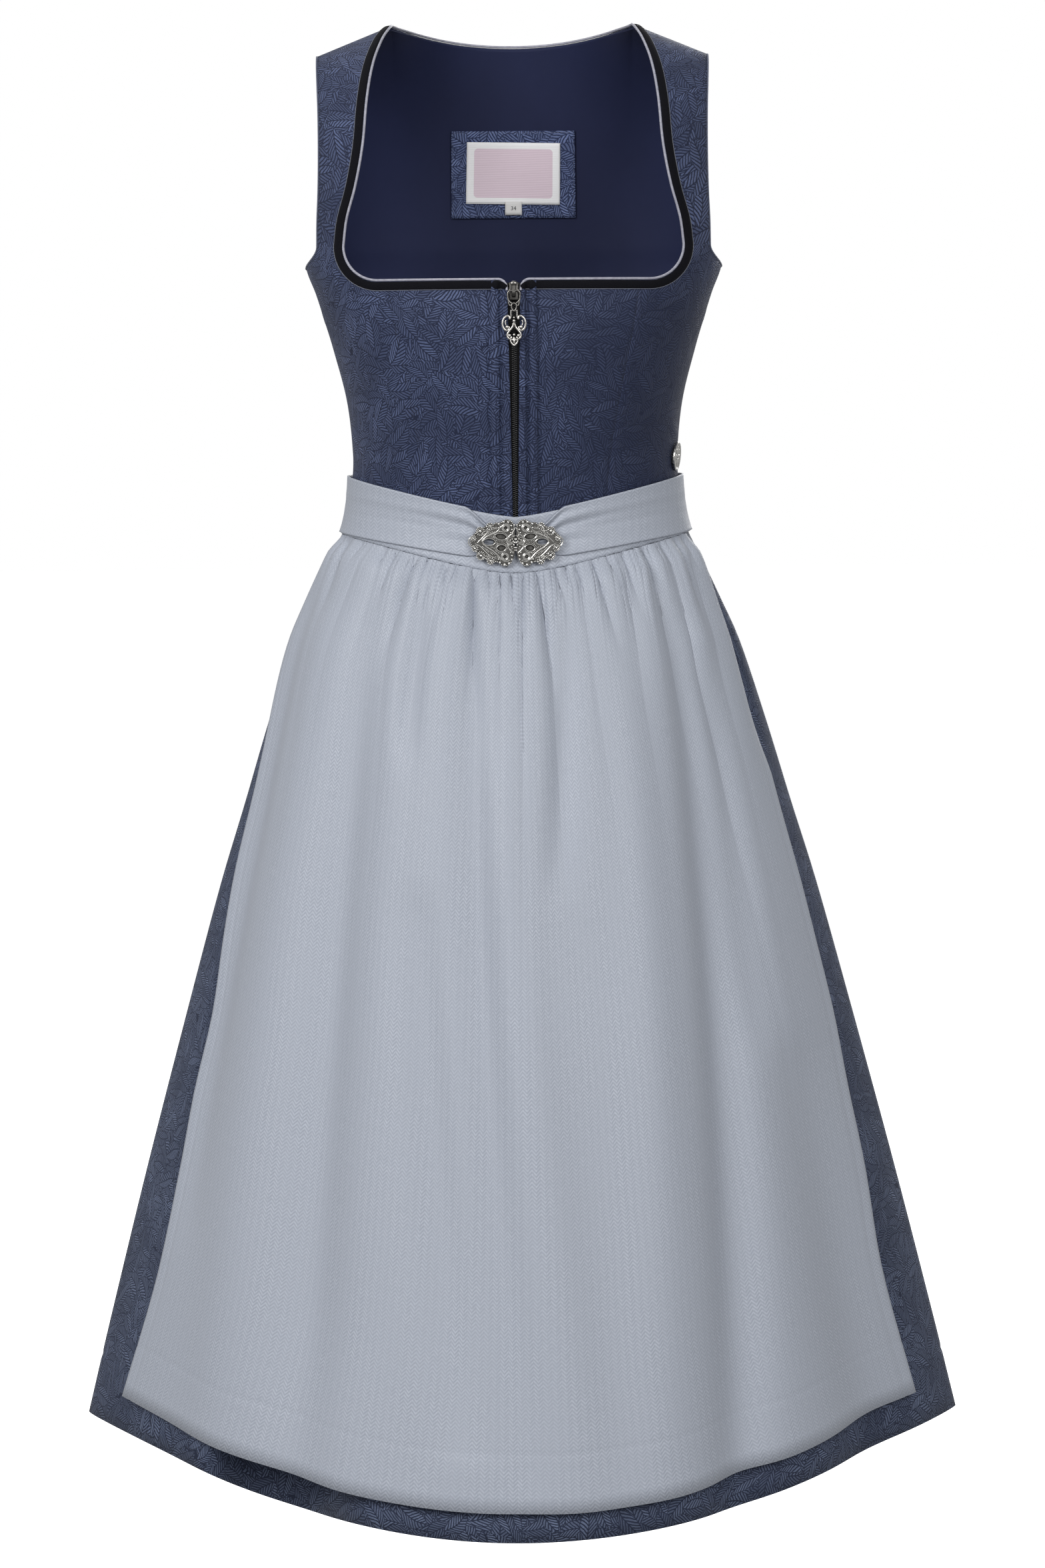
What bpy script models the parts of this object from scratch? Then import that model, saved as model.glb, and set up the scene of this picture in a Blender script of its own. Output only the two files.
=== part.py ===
"""Dirndl: a sleeveless bodice with a front zip, a gathered skirt, and an apron whose ties meet at a clasp.

The garment keeps the hollow form that it has when it is worn. Metres, +Z up, the front faces -Y, the
wearer's left is +X, and the origin lies between the two shoulders, where the straps carry the dress.
A place on the garment is given by its share of the half girth, 0 at the centre and 1 at the side, and
by its height. Every cloth piece is a wall built from such points, and what lies on another piece is
built from the same points, moved out.
"""

import math
from collections import namedtuple
from functools import lru_cache

import bmesh
import bpy
import numpy as np
from mathutils import Matrix, Vector

# Heights
NECK_EDGE_Z = -0.1868
STRAP_BASE_Z = -0.1608
UNDERARM_Z = -0.1755
FITTED_TO_Z = -0.1800
WAIST_Z = -0.3470
HEM_Z = -1.0230
WAIST_DIP = 0.0260
HEM_DIP = 0.0425
DIP_POWER = 1.3
HEM_POWER = 2.0

# Cloth and its layers, as distances out from the bodice's or the skirt's outer face
CLOTH = 0.0014
HALF_SEAM = 0.00017
LINING_OUT, LINING_IN = -0.0017, -0.0027
PATCH_OUT, PATCH_IN = -0.0038, -0.0046
LABEL_OUT, LABEL_IN = -0.0050, -0.0055
TAB_OUT, TAB_IN = -0.0059, -0.0063
VELVET_IN, VELVET_OUT = 0.0003, 0.0012
BAND_IN, BAND_OUT = 0.0011, 0.0023
TIE_IN, TIE_OUT = 0.0030, 0.0048
APRON_LIFT_TOP, APRON_LIFT_LOW = 0.0008, 0.0026
APRON_CLOTH = 0.0012

# Neck edge, straps and armholes
CORNER_RADIUS = 0.0260
CORNER_STEPS = 4
NECK_SIDE_X = 0.1225
ARMHOLE_X = 0.1415
BACK_ARMHOLE_X = 0.1400
NECK_POINT_X = 0.0885
SHOULDER_X = 0.1423
SHOULDER_DROP = 0.0215
BACK_NECK_DROP = 0.0115
BACK_NECK_RISE = 0.1150
ARMHOLE_BOW = 0.0045
VELVET_WIDTH = 0.0070
STRAP_ROWS = 8
SCOOP_STEPS = 4
PIPING_RADIUS = 0.0011
PIPING_START_X = 0.0068

# Princess seam
PRINCESS_TOP_X = 0.0900
PRINCESS_WAIST_X = 0.0660

# Zip
ZIP_HALF_TAPE = 0.0110
ZIP_HALF_CHAIN = 0.0022
CHAIN_LIFT = 0.0002
SLIDER_Z = -0.1945
SLIDER_WIDTH, SLIDER_HEIGHT, SLIDER_THICK = 0.0070, 0.0130, 0.0025
BRIDGE_WIDTH = 0.0028
BRIDGE_RADIUS = 0.0020
PIN_HOLE_RADIUS = 0.00125
PIN_HALF = 0.0006
LINK_LENGTH = 0.0139
CASTING_THICK = 0.0012

# Waistband, ties and clasp
TIE_TOP_Z, TIE_TOP_DIP = -0.3265, 0.0258
TIE_LOW_Z, TIE_LOW_DIP = -0.3655, 0.0215
BAND_TOP_Z = -0.3285
BAND_LOW_Z, BAND_LOW_DIP = -0.3690, 0.0265
TIE_END_X = 0.0150
TIE_PINCH_X = 0.0360
TIE_PINCH = 0.0085
CLASP_Z = -0.3729
CLASP_TURN = math.radians(2.5)
CLASP_THICK = 0.0016
CLASP_LIFT = 0.0014

# Badge on the side of the waist
BADGE_RADIUS = 0.0106
BADGE_THICK = 0.0016
BADGE_LIFT = 0.0014
BADGE_Z = -0.3130
BADGE_SHARE = 0.845

# Label inside the back
PATCH_HALF_WIDTH, PATCH_TOP_Z, PATCH_LOW_Z = 0.0470, -0.0715, -0.1365
LABEL_HALF_WIDTH, LABEL_TOP_Z, LABEL_LOW_Z = 0.0355, -0.0800, -0.1260
TAB_HALF_WIDTH, TAB_TOP_Z, TAB_LOW_Z = 0.0063, -0.1240, -0.1340

# Apron
APRON_HEM_GAP = 0.0210
APRON_CORNER_GAP = 0.0070
APRON_COLUMNS = 64

# Skirt
FRONT_COLUMNS = 32
BACK_COLUMNS = 56
GATHER_DEPTH = 0.0026
GATHER_FADE = 0.16
GATHER_PRESSED = 0.045

FRONT, BACK = -1, 1
LEFT, RIGHT = 1, -1

# The garment's sections by height at the side. Powers of 2 give an ellipse, higher ones a squarer curve.
Section = namedtuple("Section", "z half_width front back width_power depth_power")
SECTIONS = [
    Section(-0.1600, 0.1518, 0.1130, 0.0960, 2.60, 2.60),
    Section(-0.1755, 0.1515, 0.1165, 0.0975, 2.60, 2.60),
    Section(-0.1939, 0.1447, 0.1203, 0.0985, 2.55, 2.55),
    Section(-0.2134, 0.1386, 0.1212, 0.0982, 2.50, 2.50),
    Section(-0.2328, 0.1328, 0.1185, 0.0965, 2.45, 2.45),
    Section(-0.2718, 0.1230, 0.1085, 0.0905, 2.35, 2.35),
    Section(-0.3108, 0.1190, 0.0965, 0.0850, 2.25, 2.25),
    Section(-0.3300, 0.1196, 0.0920, 0.0838, 2.20, 2.20),
    Section(-0.3470, 0.1210, 0.0900, 0.0845, 2.15, 2.15),
    Section(-0.3676, 0.1258, 0.0930, 0.0885, 2.10, 2.05),
    Section(-0.3891, 0.1368, 0.1010, 0.0980, 2.05, 1.90),
    Section(-0.4186, 0.1508, 0.1120, 0.1100, 2.00, 1.75),
    Section(-0.4481, 0.1640, 0.1215, 0.1200, 2.00, 1.65),
    Section(-0.5072, 0.1835, 0.1375, 0.1360, 2.00, 1.50),
    Section(-0.5665, 0.2015, 0.1520, 0.1500, 2.00, 1.40),
    Section(-0.6259, 0.2200, 0.1650, 0.1625, 2.00, 1.33),
    Section(-0.7155, 0.2448, 0.1850, 0.1810, 2.00, 1.27),
    Section(-0.8358, 0.2771, 0.2080, 0.2030, 2.00, 1.22),
    Section(-0.9562, 0.3077, 0.2290, 0.2230, 2.00, 1.19),
    Section(-1.0230, 0.3240, 0.2400, 0.2330, 2.00, 1.18),
]

# Front strap: half widths of its neck edge by height
StrapEdge = namedtuple("StrapEdge", "z neck_x armhole_x")
STRAP = [
    StrapEdge(STRAP_BASE_Z, NECK_SIDE_X, ARMHOLE_X),
    StrapEdge(-0.1400, 0.1200, 0.1412),
    StrapEdge(-0.1150, 0.1135, 0.1402),
    StrapEdge(-0.0850, 0.1082, 0.1398),
    StrapEdge(-0.0500, 0.1052, 0.1402),
    StrapEdge(-0.0250, 0.1010, 0.1412),
    StrapEdge(-0.0080, 0.0945, 0.1420),
    StrapEdge(0.0, NECK_POINT_X, SHOULDER_X),
]

# Raised lip and boning channel beside the zip, with a stitched groove between them
Relief = namedtuple("Relief", "x lift")
ZIP_RELIEF = [
    Relief(0.0042, 0.0006),
    Relief(0.0086, 0.0006),
    Relief(0.0095, -0.0003),
    Relief(0.0105, 0.0006),
    Relief(0.0160, 0.0006),
    Relief(0.0173, 0.0),
]
CENTRE_PANEL_X = [0.0320, 0.0470, 0.0620, 0.0770, PRINCESS_TOP_X]

# How far the apron reaches round the front, as a share of the skirt's half width
ApronEdge = namedtuple("ApronEdge", "z reach")
APRON_EDGE = [
    ApronEdge(-0.3470, 0.992),
    ApronEdge(-0.4500, 0.985),
    ApronEdge(-0.6000, 0.950),
    ApronEdge(-0.7500, 0.922),
    ApronEdge(-1.0230, 0.915),
]

# Large folds. Places run from -1 at the wearer's right edge to 1 at the left; reach from 0 at the waist
# seam to 1 at the hem; depth is how far the cloth falls back (or stands out, where it is negative).
Fold = namedtuple("Fold", "top_place low_place starts ends depth width")
FRONT_FOLDS = [
    Fold(-0.87, -0.755, 0.04, 0.78, 0.0045, 0.050),
    Fold(-0.52, -0.36, 0.04, 1.25, 0.0080, 0.075),
    Fold(-0.35, -0.33, 0.01, 0.24, 0.0040, 0.040),
    Fold(-0.25, -0.09, 0.36, 0.92, 0.0050, 0.055),
    Fold(-0.155, 0.01, 0.04, 0.98, 0.0055, 0.050),
    Fold(0.19, 0.10, 0.03, 0.36, 0.0045, 0.045),
    Fold(0.58, 0.335, 0.04, 1.25, 0.0090, 0.060),
    Fold(0.92, 0.84, 0.03, 0.28, 0.0040, 0.045),
    Fold(0.66, 0.58, 0.14, 0.56, 0.0040, 0.055),
    Fold(0.70, 0.72, 0.56, 1.40, 0.0070, 0.100),
    Fold(-0.68, -0.55, 0.10, 1.20, -0.0050, 0.090),
    Fold(-0.06, 0.13, 0.20, 1.10, -0.0050, 0.070),
    Fold(0.34, 0.21, 0.15, 1.20, -0.0045, 0.075),
]
BACK_FOLDS = [
    Fold(-0.90, -0.84, 0.02, 1.30, 0.0090, 0.055),
    Fold(-0.72, -0.66, 0.02, 0.80, 0.0070, 0.045),
    Fold(-0.55, -0.47, 0.02, 1.40, 0.0120, 0.060),
    Fold(-0.38, -0.30, 0.02, 0.95, 0.0080, 0.045),
    Fold(-0.19, -0.13, 0.02, 1.35, 0.0110, 0.055),
    Fold(-0.02, 0.03, 0.02, 0.70, 0.0080, 0.045),
    Fold(0.15, 0.19, 0.02, 1.40, 0.0120, 0.060),
    Fold(0.33, 0.35, 0.02, 0.90, 0.0080, 0.045),
    Fold(0.50, 0.53, 0.02, 1.35, 0.0115, 0.060),
    Fold(0.68, 0.70, 0.02, 0.85, 0.0075, 0.045),
    Fold(0.88, 0.86, 0.02, 1.30, 0.0095, 0.055),
    Fold(-0.63, -0.57, 0.15, 1.40, -0.0080, 0.060),
    Fold(-0.28, -0.21, 0.15, 1.40, -0.0080, 0.060),
    Fold(0.07, 0.11, 0.15, 1.40, -0.0080, 0.060),
    Fold(0.42, 0.44, 0.15, 1.40, -0.0080, 0.060),
    Fold(0.78, 0.78, 0.15, 1.40, -0.0080, 0.060),
]

# Rows of the skirt, closer together where its outline bends under the waistband
SKIRT_ROWS = [0.0, 0.014, 0.032, 0.062, 0.11, 0.19, 0.31, 0.47, 0.65, 0.83, 1.0]
PANEL_ROWS = [0.0, 0.055, 0.12, 0.22, 0.38, 0.56, 0.76, 1.0]

# Colours
LEAF_COTTON = (0.055, 0.068, 0.110)
NAVY_LINING = (0.014, 0.021, 0.052)
BLACK_VELVET = (0.010, 0.010, 0.014)
SILVER_CORD = (0.420, 0.430, 0.480)
BLACK_ZIP = (0.012, 0.012, 0.013)
OLD_SILVER = (0.420, 0.410, 0.390)
APRON_CLOTH_BLUE = (0.400, 0.430, 0.500)
LABEL_WHITE = (0.860, 0.850, 0.850)


for old in list(bpy.data.objects):
    bpy.data.objects.remove(old, do_unlink=True)


def blend(a, b, share):
    """Go from a to b."""
    return a + (b - a) * share


def soft_step(value):
    """Rise from 0 to 1 with soft ends."""
    value = min(max(value, 0.0), 1.0)
    return value * value * (3.0 - 2.0 * value)


def read_table(table, column, z):
    """Read one column of a table whose first column falls, with a soft curve through its rows."""
    heights = [row[0] for row in table]
    values = [getattr(row, column) for row in table]
    falling = heights[0] > heights[-1]
    if falling:
        heights.reverse()
        values.reverse()
    z = min(max(z, heights[0]), heights[-1])
    i = min(max(int(np.searchsorted(heights, z)) - 1, 0), len(heights) - 2)

    def slope(k):
        low, high = max(k - 1, 0), min(k + 1, len(heights) - 1)
        return (values[high] - values[low]) / (heights[high] - heights[low])

    span = heights[i + 1] - heights[i]
    t = (z - heights[i]) / span
    return ((2 * t**3 - 3 * t**2 + 1) * values[i] + (t**3 - 2 * t**2 + t) * span * slope(i)
            + (3 * t**2 - 2 * t**3) * values[i + 1] + (t**3 - t**2) * span * slope(i + 1))


# The garment's form

@lru_cache(maxsize=None)
def plan_curve(level, side):
    """Quarter of the garment's plan at one level: sizes, angles and the share of its length at each."""
    half = read_table(SECTIONS, "half_width", level)
    depth = read_table(SECTIONS, "front" if side == FRONT else "back", level)
    across = 2.0 / read_table(SECTIONS, "width_power", level)
    deep = 2.0 / read_table(SECTIONS, "depth_power", level)
    angles = 0.5 * math.pi * np.linspace(0.0, 1.0, 181)
    x = half * np.sin(angles) ** across
    y = depth * np.abs(np.cos(angles)) ** deep
    length = np.concatenate([[0.0], np.cumsum(np.hypot(np.diff(x), np.diff(y)))])
    return x, y, length / length[-1]


def waist_z(share, side):
    """Height of the waist seam: level at the back, dipping to a soft point at the centre front."""
    if side == BACK:
        return WAIST_Z
    return WAIST_Z - WAIST_DIP * front_dip(share)


def front_dip(share):
    """1 at the centre front and 0 at the side."""
    return 1.0 - math.sin(0.5 * math.pi * min(abs(share), 1.0)) ** DIP_POWER


def hem_z(share, side):
    """Height of the skirt's hem."""
    dip = HEM_DIP if side == FRONT else 0.35 * HEM_DIP
    return HEM_Z - dip * (1.0 - math.sin(0.5 * math.pi * min(abs(share), 1.0)) ** HEM_POWER)


def level_of(share, z, side):
    """Level of the section that a height belongs to, which follows the dips of waist and hem."""
    waist = waist_z(share, side)
    if z >= FITTED_TO_Z:
        return z
    if z >= waist:
        return WAIST_Z + (z - waist) * (FITTED_TO_Z - WAIST_Z) / (FITTED_TO_Z - waist)
    return WAIST_Z + (z - waist) * (HEM_Z - WAIST_Z) / (hem_z(share, side) - waist)


def form_point(share, z, side):
    """Point on the garment's outer face below the straps; a negative share lies on the wearer's right."""
    level = round(level_of(share, z, side), 6)
    x, y, shares = plan_curve(level, side)
    place = min(abs(share), 1.0)
    out_x = float(np.interp(place, shares, x))
    out_y = float(np.interp(place, shares, y))
    return Vector((math.copysign(out_x, share), side * out_y, z))


def share_at(x, z, side):
    """Share of the half girth at which the garment is x wide."""
    share = 0.0
    for _ in range(4):
        level = round(level_of(share, z, side), 6)
        xs, _, shares = plan_curve(level, side)
        share = float(np.interp(abs(x), xs, shares))
    return math.copysign(share, x)


def base_depth(x, side):
    """Distance from the shoulder line to the chest or the back at the foot of the straps."""
    xs, ys, _ = plan_curve(STRAP_BASE_Z, side)
    return float(np.interp(abs(x), xs, ys))


def shoulder_z(x):
    """Height of the shoulder line."""
    return -SHOULDER_DROP * max(abs(x) - NECK_POINT_X, 0.0) / (SHOULDER_X - NECK_POINT_X)


def arch_height(x, side):
    """Height of the arch from the foot of the straps; it rises towards the centre of the back."""
    height = shoulder_z(x) - STRAP_BASE_Z
    if side == BACK and abs(x) < NECK_POINT_X:
        height += BACK_NECK_RISE * (1.0 - (x / NECK_POINT_X) ** 2) ** 2
    return height


def arch_point(x, angle, side):
    """Point above the foot of the straps, on an arch over the shoulder line."""
    y = side * base_depth(x, side) * math.cos(angle)
    return Vector((x, y, STRAP_BASE_Z + arch_height(x, side) * math.sin(angle)))


def back_neck_angle(x):
    """Angle on the arch at which the back ends at the neck."""
    if abs(x) >= NECK_POINT_X:
        return 0.5 * math.pi
    edge = -BACK_NECK_DROP * (1.0 - (x / NECK_POINT_X) ** 2)
    return math.asin(min((edge - STRAP_BASE_Z) / arch_height(x, BACK), 1.0))


def back_at(x, z):
    """Point on the back above the foot of the straps, at a given height."""
    return arch_point(x, math.asin(min((z - STRAP_BASE_Z) / arch_height(x, BACK), 1.0)), BACK)


# Sheets and walls

class Sheet:
    """Points and quads of a surface, welded where grids meet, with a tag and a side for each quad."""

    def __init__(self):
        self.points = []
        self.lifts = {}
        self.faces = []
        self.index = {}

    def add_point(self, point):
        key = tuple(round(value, 5) for value in point)
        if key not in self.index:
            self.index[key] = len(self.points)
            self.points.append(Vector(point))
        return self.index[key]

    def add_grid(self, rows, tag, side, both=True):
        """Rows of points, from low to high and from the centre outwards, with their mirror image."""
        for hand in ((LEFT, RIGHT) if both else (LEFT,)):
            grid = [[self.add_point((hand * p[0], p[1], p[2])) for p in row] for row in rows]
            for low, high in zip(grid, grid[1:]):
                for i in range(len(low) - 1):
                    quad = [low[i], low[i + 1], high[i + 1], high[i]]
                    if side * hand == BACK:
                        quad.reverse()
                    if len(set(quad)) == 4:
                        self.faces.append((quad, tag, hand))

    def normals(self):
        """Outward direction at each point, from all the quads round it."""
        totals = [Vector() for _ in self.points]
        for quad, _, _ in self.faces:
            a, b, c, d = (self.points[i] for i in quad)
            area = (c - a).cross(d - b)
            for i in quad:
                totals[i] += area
        return [total.normalized() for total in totals]


def make_object(name, mesh, colour, roughness=0.8, metallic=0.0, smooth=40.0):
    """Put a mesh into the scene under its name, with a material of its own."""
    material = bpy.data.materials.new(name)
    material.use_nodes = True
    shader = material.node_tree.nodes["Principled BSDF"]
    shader.inputs["Base Color"].default_value = (*colour, 1.0)
    shader.inputs["Roughness"].default_value = roughness
    shader.inputs["Metallic"].default_value = metallic
    mesh.materials.append(material)
    mesh.shade_smooth()
    mesh.set_sharp_from_angle(angle=math.radians(smooth))
    piece = bpy.data.objects.new(name, mesh)
    bpy.context.collection.objects.link(piece)
    return piece


def wall(name, sheet, chosen, inner, outer, colour, **finish):
    """Closed cloth wall from the chosen quads of a sheet, drawn in by half a seam at its edges.

    Every quad is split along the same diagonal in each wall, so that walls on one sheet stay parallel.
    """
    quads = [quad for quad, tag, hand in sheet.faces if chosen(tag, hand)]
    normals = sheet.normals()
    edges = {}
    for quad in quads:
        for a, b in zip(quad, quad[1:] + quad[:1]):
            edges[(a, b)] = True
    rim = [(a, b) for a, b in edges if (b, a) not in edges]
    pull = {}
    for a, b in rim:
        along = (sheet.points[b] - sheet.points[a]).normalized()
        for i in (a, b):
            pull[i] = pull.get(i, Vector()) + normals[i].cross(along)
    used = sorted({i for quad in quads for i in quad})
    order = {i: n for n, i in enumerate(used)}
    verts = []
    for skin in (outer, inner):
        for i in used:
            point = sheet.points[i].copy()
            if i in pull:
                point += pull[i].normalized() * HALF_SEAM
            distance = skin(i) if callable(skin) else skin
            verts.append(point + normals[i] * distance)
    count = len(used)
    halves = [corners for a, b, c, d in quads for corners in ((a, b, c), (a, c, d))]
    faces = [[order[i] for i in corners] for corners in halves]
    faces += [[order[i] + count for i in reversed(corners)] for corners in halves]
    faces += [[order[b], order[a], order[a] + count, order[b] + count] for a, b in rim]
    mesh = bpy.data.meshes.new(name)
    mesh.from_pydata(verts, [], faces)
    return make_object(name, mesh, colour, **finish)


def tube(name, path, radius, colour, **finish):
    """Round cord through a list of points, with closed ends."""
    curve = bpy.data.curves.new(name, "CURVE")
    curve.dimensions = "3D"
    curve.bevel_depth = radius
    curve.bevel_resolution = 1
    curve.use_fill_caps = True
    spline = curve.splines.new("POLY")
    spline.points.add(len(path) - 1)
    for knot, point in zip(spline.points, path):
        knot.co = (*point, 1.0)
    holder = bpy.data.objects.new(name + "_path", curve)
    bpy.context.collection.objects.link(holder)
    depsgraph = bpy.context.evaluated_depsgraph_get()
    mesh = bpy.data.meshes.new_from_object(holder.evaluated_get(depsgraph))
    bpy.data.objects.remove(holder, do_unlink=True)
    mesh.materials.clear()
    bm = bmesh.new()
    bm.from_mesh(mesh)
    bmesh.ops.remove_doubles(bm, verts=bm.verts, dist=1e-6)
    bmesh.ops.recalc_face_normals(bm, faces=bm.faces)
    bm.to_mesh(mesh)
    bm.free()
    return make_object(name, mesh, colour, **finish)


# Bodice

def neck_corner(step, extra):
    """Point on the rounded corner of the neck edge, or further out by extra."""
    angle = 0.5 * math.pi * step / CORNER_STEPS
    reach = CORNER_RADIUS + extra
    x = NECK_SIDE_X - CORNER_RADIUS + reach * math.sin(angle)
    z = NECK_EDGE_Z + CORNER_RADIUS - reach * math.cos(angle)
    return on_front(x, z)


def on_front(x, z):
    """Point on the front of the bodice, x from the centre and at height z."""
    return form_point(share_at(x, z, FRONT), z, FRONT)


def armhole_scoop(share):
    """The armhole's lower edge, from the strap's outer edge round to the side seam."""
    points = []
    for step in range(1, SCOOP_STEPS + 1):
        angle = 0.5 * math.pi * step / SCOOP_STEPS
        place = blend(share, 1.0, 1.0 - math.cos(angle))
        z = STRAP_BASE_Z + (UNDERARM_Z - STRAP_BASE_Z) * math.sin(angle)
        points.append((place, z))
    return points


def panel_columns(tops, waist_shares, side, rows):
    """Rows of points from the waist seam to the top of each column."""
    grid = []
    for t in rows:
        row = []
        for (top_share, top_z), waist_share in zip(tops, waist_shares):
            share = blend(waist_share, top_share, t)
            low = waist_z(share, side)
            row.append(form_point(share, blend(low, top_z, t), side))
        grid.append(row)
    return grid


def add_bodice_front(sheet):
    """Centre and side panels of one half of the front, with the velvet's strip along the neck edge."""
    below = NECK_EDGE_Z - VELVET_WIDTH
    centre_x = [row.x for row in ZIP_RELIEF] + CENTRE_PANEL_X
    centre_tops = [(share_at(x, below, FRONT), below) for x in centre_x]
    plain_from = ZIP_RELIEF[-1].x
    narrowing = (PRINCESS_WAIST_X - plain_from) / (PRINCESS_TOP_X - plain_from)
    waist_x = [min(x, plain_from) + max(x - plain_from, 0.0) * narrowing for x in centre_x]
    centre_waist = [share_at(x, WAIST_Z - WAIST_DIP, FRONT) for x in waist_x]
    centre = panel_columns(centre_tops, centre_waist, FRONT, PANEL_ROWS)
    sheet.add_grid(centre, "centre", FRONT)
    edge_row = [on_front(x, NECK_EDGE_Z) for x in centre_x]
    sheet.add_grid([centre[-1], edge_row], "centre_velvet", FRONT)
    lifts = {row.x: row.lift for row in ZIP_RELIEF}
    for grid_row in centre + [edge_row]:
        for x, point in zip(centre_x, grid_row):
            if x in lifts:
                for hand in (LEFT, RIGHT):
                    key = tuple(round(value, 5) for value in (hand * point[0], point[1], point[2]))
                    sheet.lifts[sheet.index[key]] = lifts[x]

    corner_out = [neck_corner(step, VELVET_WIDTH) for step in range(CORNER_STEPS + 1)]
    corner_edge = [neck_corner(step, 0.0) for step in range(CORNER_STEPS + 1)]
    strap_rows = [strap_row(0.5 * math.pi * k / STRAP_ROWS) for k in range(STRAP_ROWS + 1)]
    strap_rows[0][0] = corner_edge[-1]
    strap_rows[0][1] = corner_out[-1]
    tops = [centre_tops[-1]]
    tops += [(share_at(p.x, p.z, FRONT), p.z) for p in corner_out]
    tops += [(share_at(p.x, p.z, FRONT), p.z) for p in strap_rows[0][2:]]
    tops += armhole_scoop(tops[-1][0])
    first = centre_waist[-1]
    waist_shares = [blend(first, 1.0, i / (len(tops) - 1)) for i in range(len(tops))]
    side_rows = panel_columns(tops, waist_shares, FRONT, PANEL_ROWS)
    sheet.add_grid(side_rows, "side", FRONT)
    sheet.add_grid([side_rows[-1][:CORNER_STEPS + 2], [edge_row[-1]] + corner_edge], "side_velvet", FRONT)
    strap_rows[0][2:] = side_rows[-1][CORNER_STEPS + 2:CORNER_STEPS + 4]
    sheet.add_grid([row[:2] for row in strap_rows], "side_velvet", FRONT)
    sheet.add_grid([row[1:] for row in strap_rows], "side", FRONT)
    neck = list(zip(edge_row + corner_edge, centre[-1] + corner_out))
    neck += [(row[0], row[1]) for row in strap_rows[1:]]
    return neck


def strap_row(angle):
    """Points across the front strap: neck edge, velvet's edge, middle and armhole edge."""
    z = STRAP_BASE_Z * (1.0 - math.sin(angle))
    neck_x = read_table(STRAP, "neck_x", z)
    armhole_x = read_table(STRAP, "armhole_x", z)
    velvet_x = neck_x + VELVET_WIDTH
    across = (neck_x, velvet_x, 0.5 * (velvet_x + armhole_x), armhole_x)
    return [arch_point(x, angle, FRONT) for x in across]


BACK_NECK_STEPS = [0.0, 0.30, 0.54, 0.72, 0.85, 0.94, 0.985, 1.0]


def velvet_offset(x, angle):
    """Place on the back one velvet's width away from the neck edge, as x and an angle on the arch."""
    step = 0.0005
    lower, upper = max(x - step, 0.0), min(x + step, NECK_POINT_X)
    run = upper - lower
    reach = base_depth(x, BACK)
    height = arch_height(x, BACK)
    metric = math.hypot(reach * math.sin(angle), height * math.cos(angle))
    rise = (back_neck_angle(upper) - back_neck_angle(lower)) * metric
    size = math.hypot(run, rise)
    if x >= NECK_POINT_X:
        return x + VELVET_WIDTH, angle
    if x <= 0.0:
        return x, angle - VELVET_WIDTH / metric
    return x + VELVET_WIDTH * rise / size, angle - VELVET_WIDTH * run / size / metric


def add_bodice_back(sheet):
    """Both halves of the back, with the velvet's strip along the neck edge."""
    edge_x = [NECK_POINT_X * step for step in BACK_NECK_STEPS]
    edge = [arch_point(x, back_neck_angle(x), BACK) for x in edge_x]
    targets = [velvet_offset(x, back_neck_angle(x)) for x in edge_x]
    velvet_x = NECK_POINT_X + VELVET_WIDTH
    targets += [(0.5 * (velvet_x + SHOULDER_X), 0.5 * math.pi), (SHOULDER_X, 0.5 * math.pi)]
    columns = len(targets)
    base_x = [BACK_ARMHOLE_X * i / (columns - 1) for i in range(columns)]
    rows = []
    for k in range(STRAP_ROWS - 1):
        t = k / (STRAP_ROWS - 2)
        row = []
        for i, (target_x, target_angle) in enumerate(targets):
            beyond = max(i / (columns - 1) - 0.7, 0.0) / 0.3
            x = blend(base_x[i], target_x, t) - ARMHOLE_BOW * beyond * math.sin(math.pi * t)
            row.append(arch_point(x, target_angle * t, BACK))
        rows.append(row)
    tops = [(share_at(x, STRAP_BASE_Z, BACK), STRAP_BASE_Z) for x in base_x]
    tops += armhole_scoop(tops[-1][0])
    waist_shares = [i / (len(tops) - 1) for i in range(len(tops))]
    low_rows = panel_columns(tops, waist_shares, BACK, PANEL_ROWS)
    rows[0] = low_rows[-1][:columns]
    sheet.add_grid(low_rows, "back", BACK)
    sheet.add_grid(rows, "back", BACK)
    strip = len(edge)
    sheet.add_grid([rows[-1][:strip], edge], "back_velvet", BACK)
    return list(zip(edge, rows[-1][:strip]))


def build_bodice():
    """Front panels, back, lining, velvet band and piping."""
    sheet = Sheet()
    front_neck = add_bodice_front(sheet)
    back_neck = add_bodice_back(sheet)
    for hand, word in ((LEFT, "left"), (RIGHT, "right")):
        for panel in ("centre", "side"):
            wall(f"bodice_{panel}_{word}", sheet,
                 lambda tag, side, p=panel, h=hand: tag.startswith(p) and side == h,
                 -CLOTH, raised(sheet, 0.0), LEAF_COTTON)
    wall("bodice_back", sheet, lambda tag, side: tag.startswith("back"), -CLOTH, 0.0, LEAF_COTTON)
    wall("back_lining", sheet, lambda tag, side: tag.startswith("back"), LINING_IN, LINING_OUT, NAVY_LINING)
    wall("neck_velvet", sheet, lambda tag, side: tag.endswith("velvet"),
         raised(sheet, VELVET_IN), raised(sheet, VELVET_OUT), BLACK_VELVET)
    build_piping(front_neck, back_neck)


def raised(sheet, distance):
    """Distance out that also follows the raised lips and channels beside the zip."""
    return lambda i: distance + sheet.lifts.get(i, 0.0)


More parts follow.
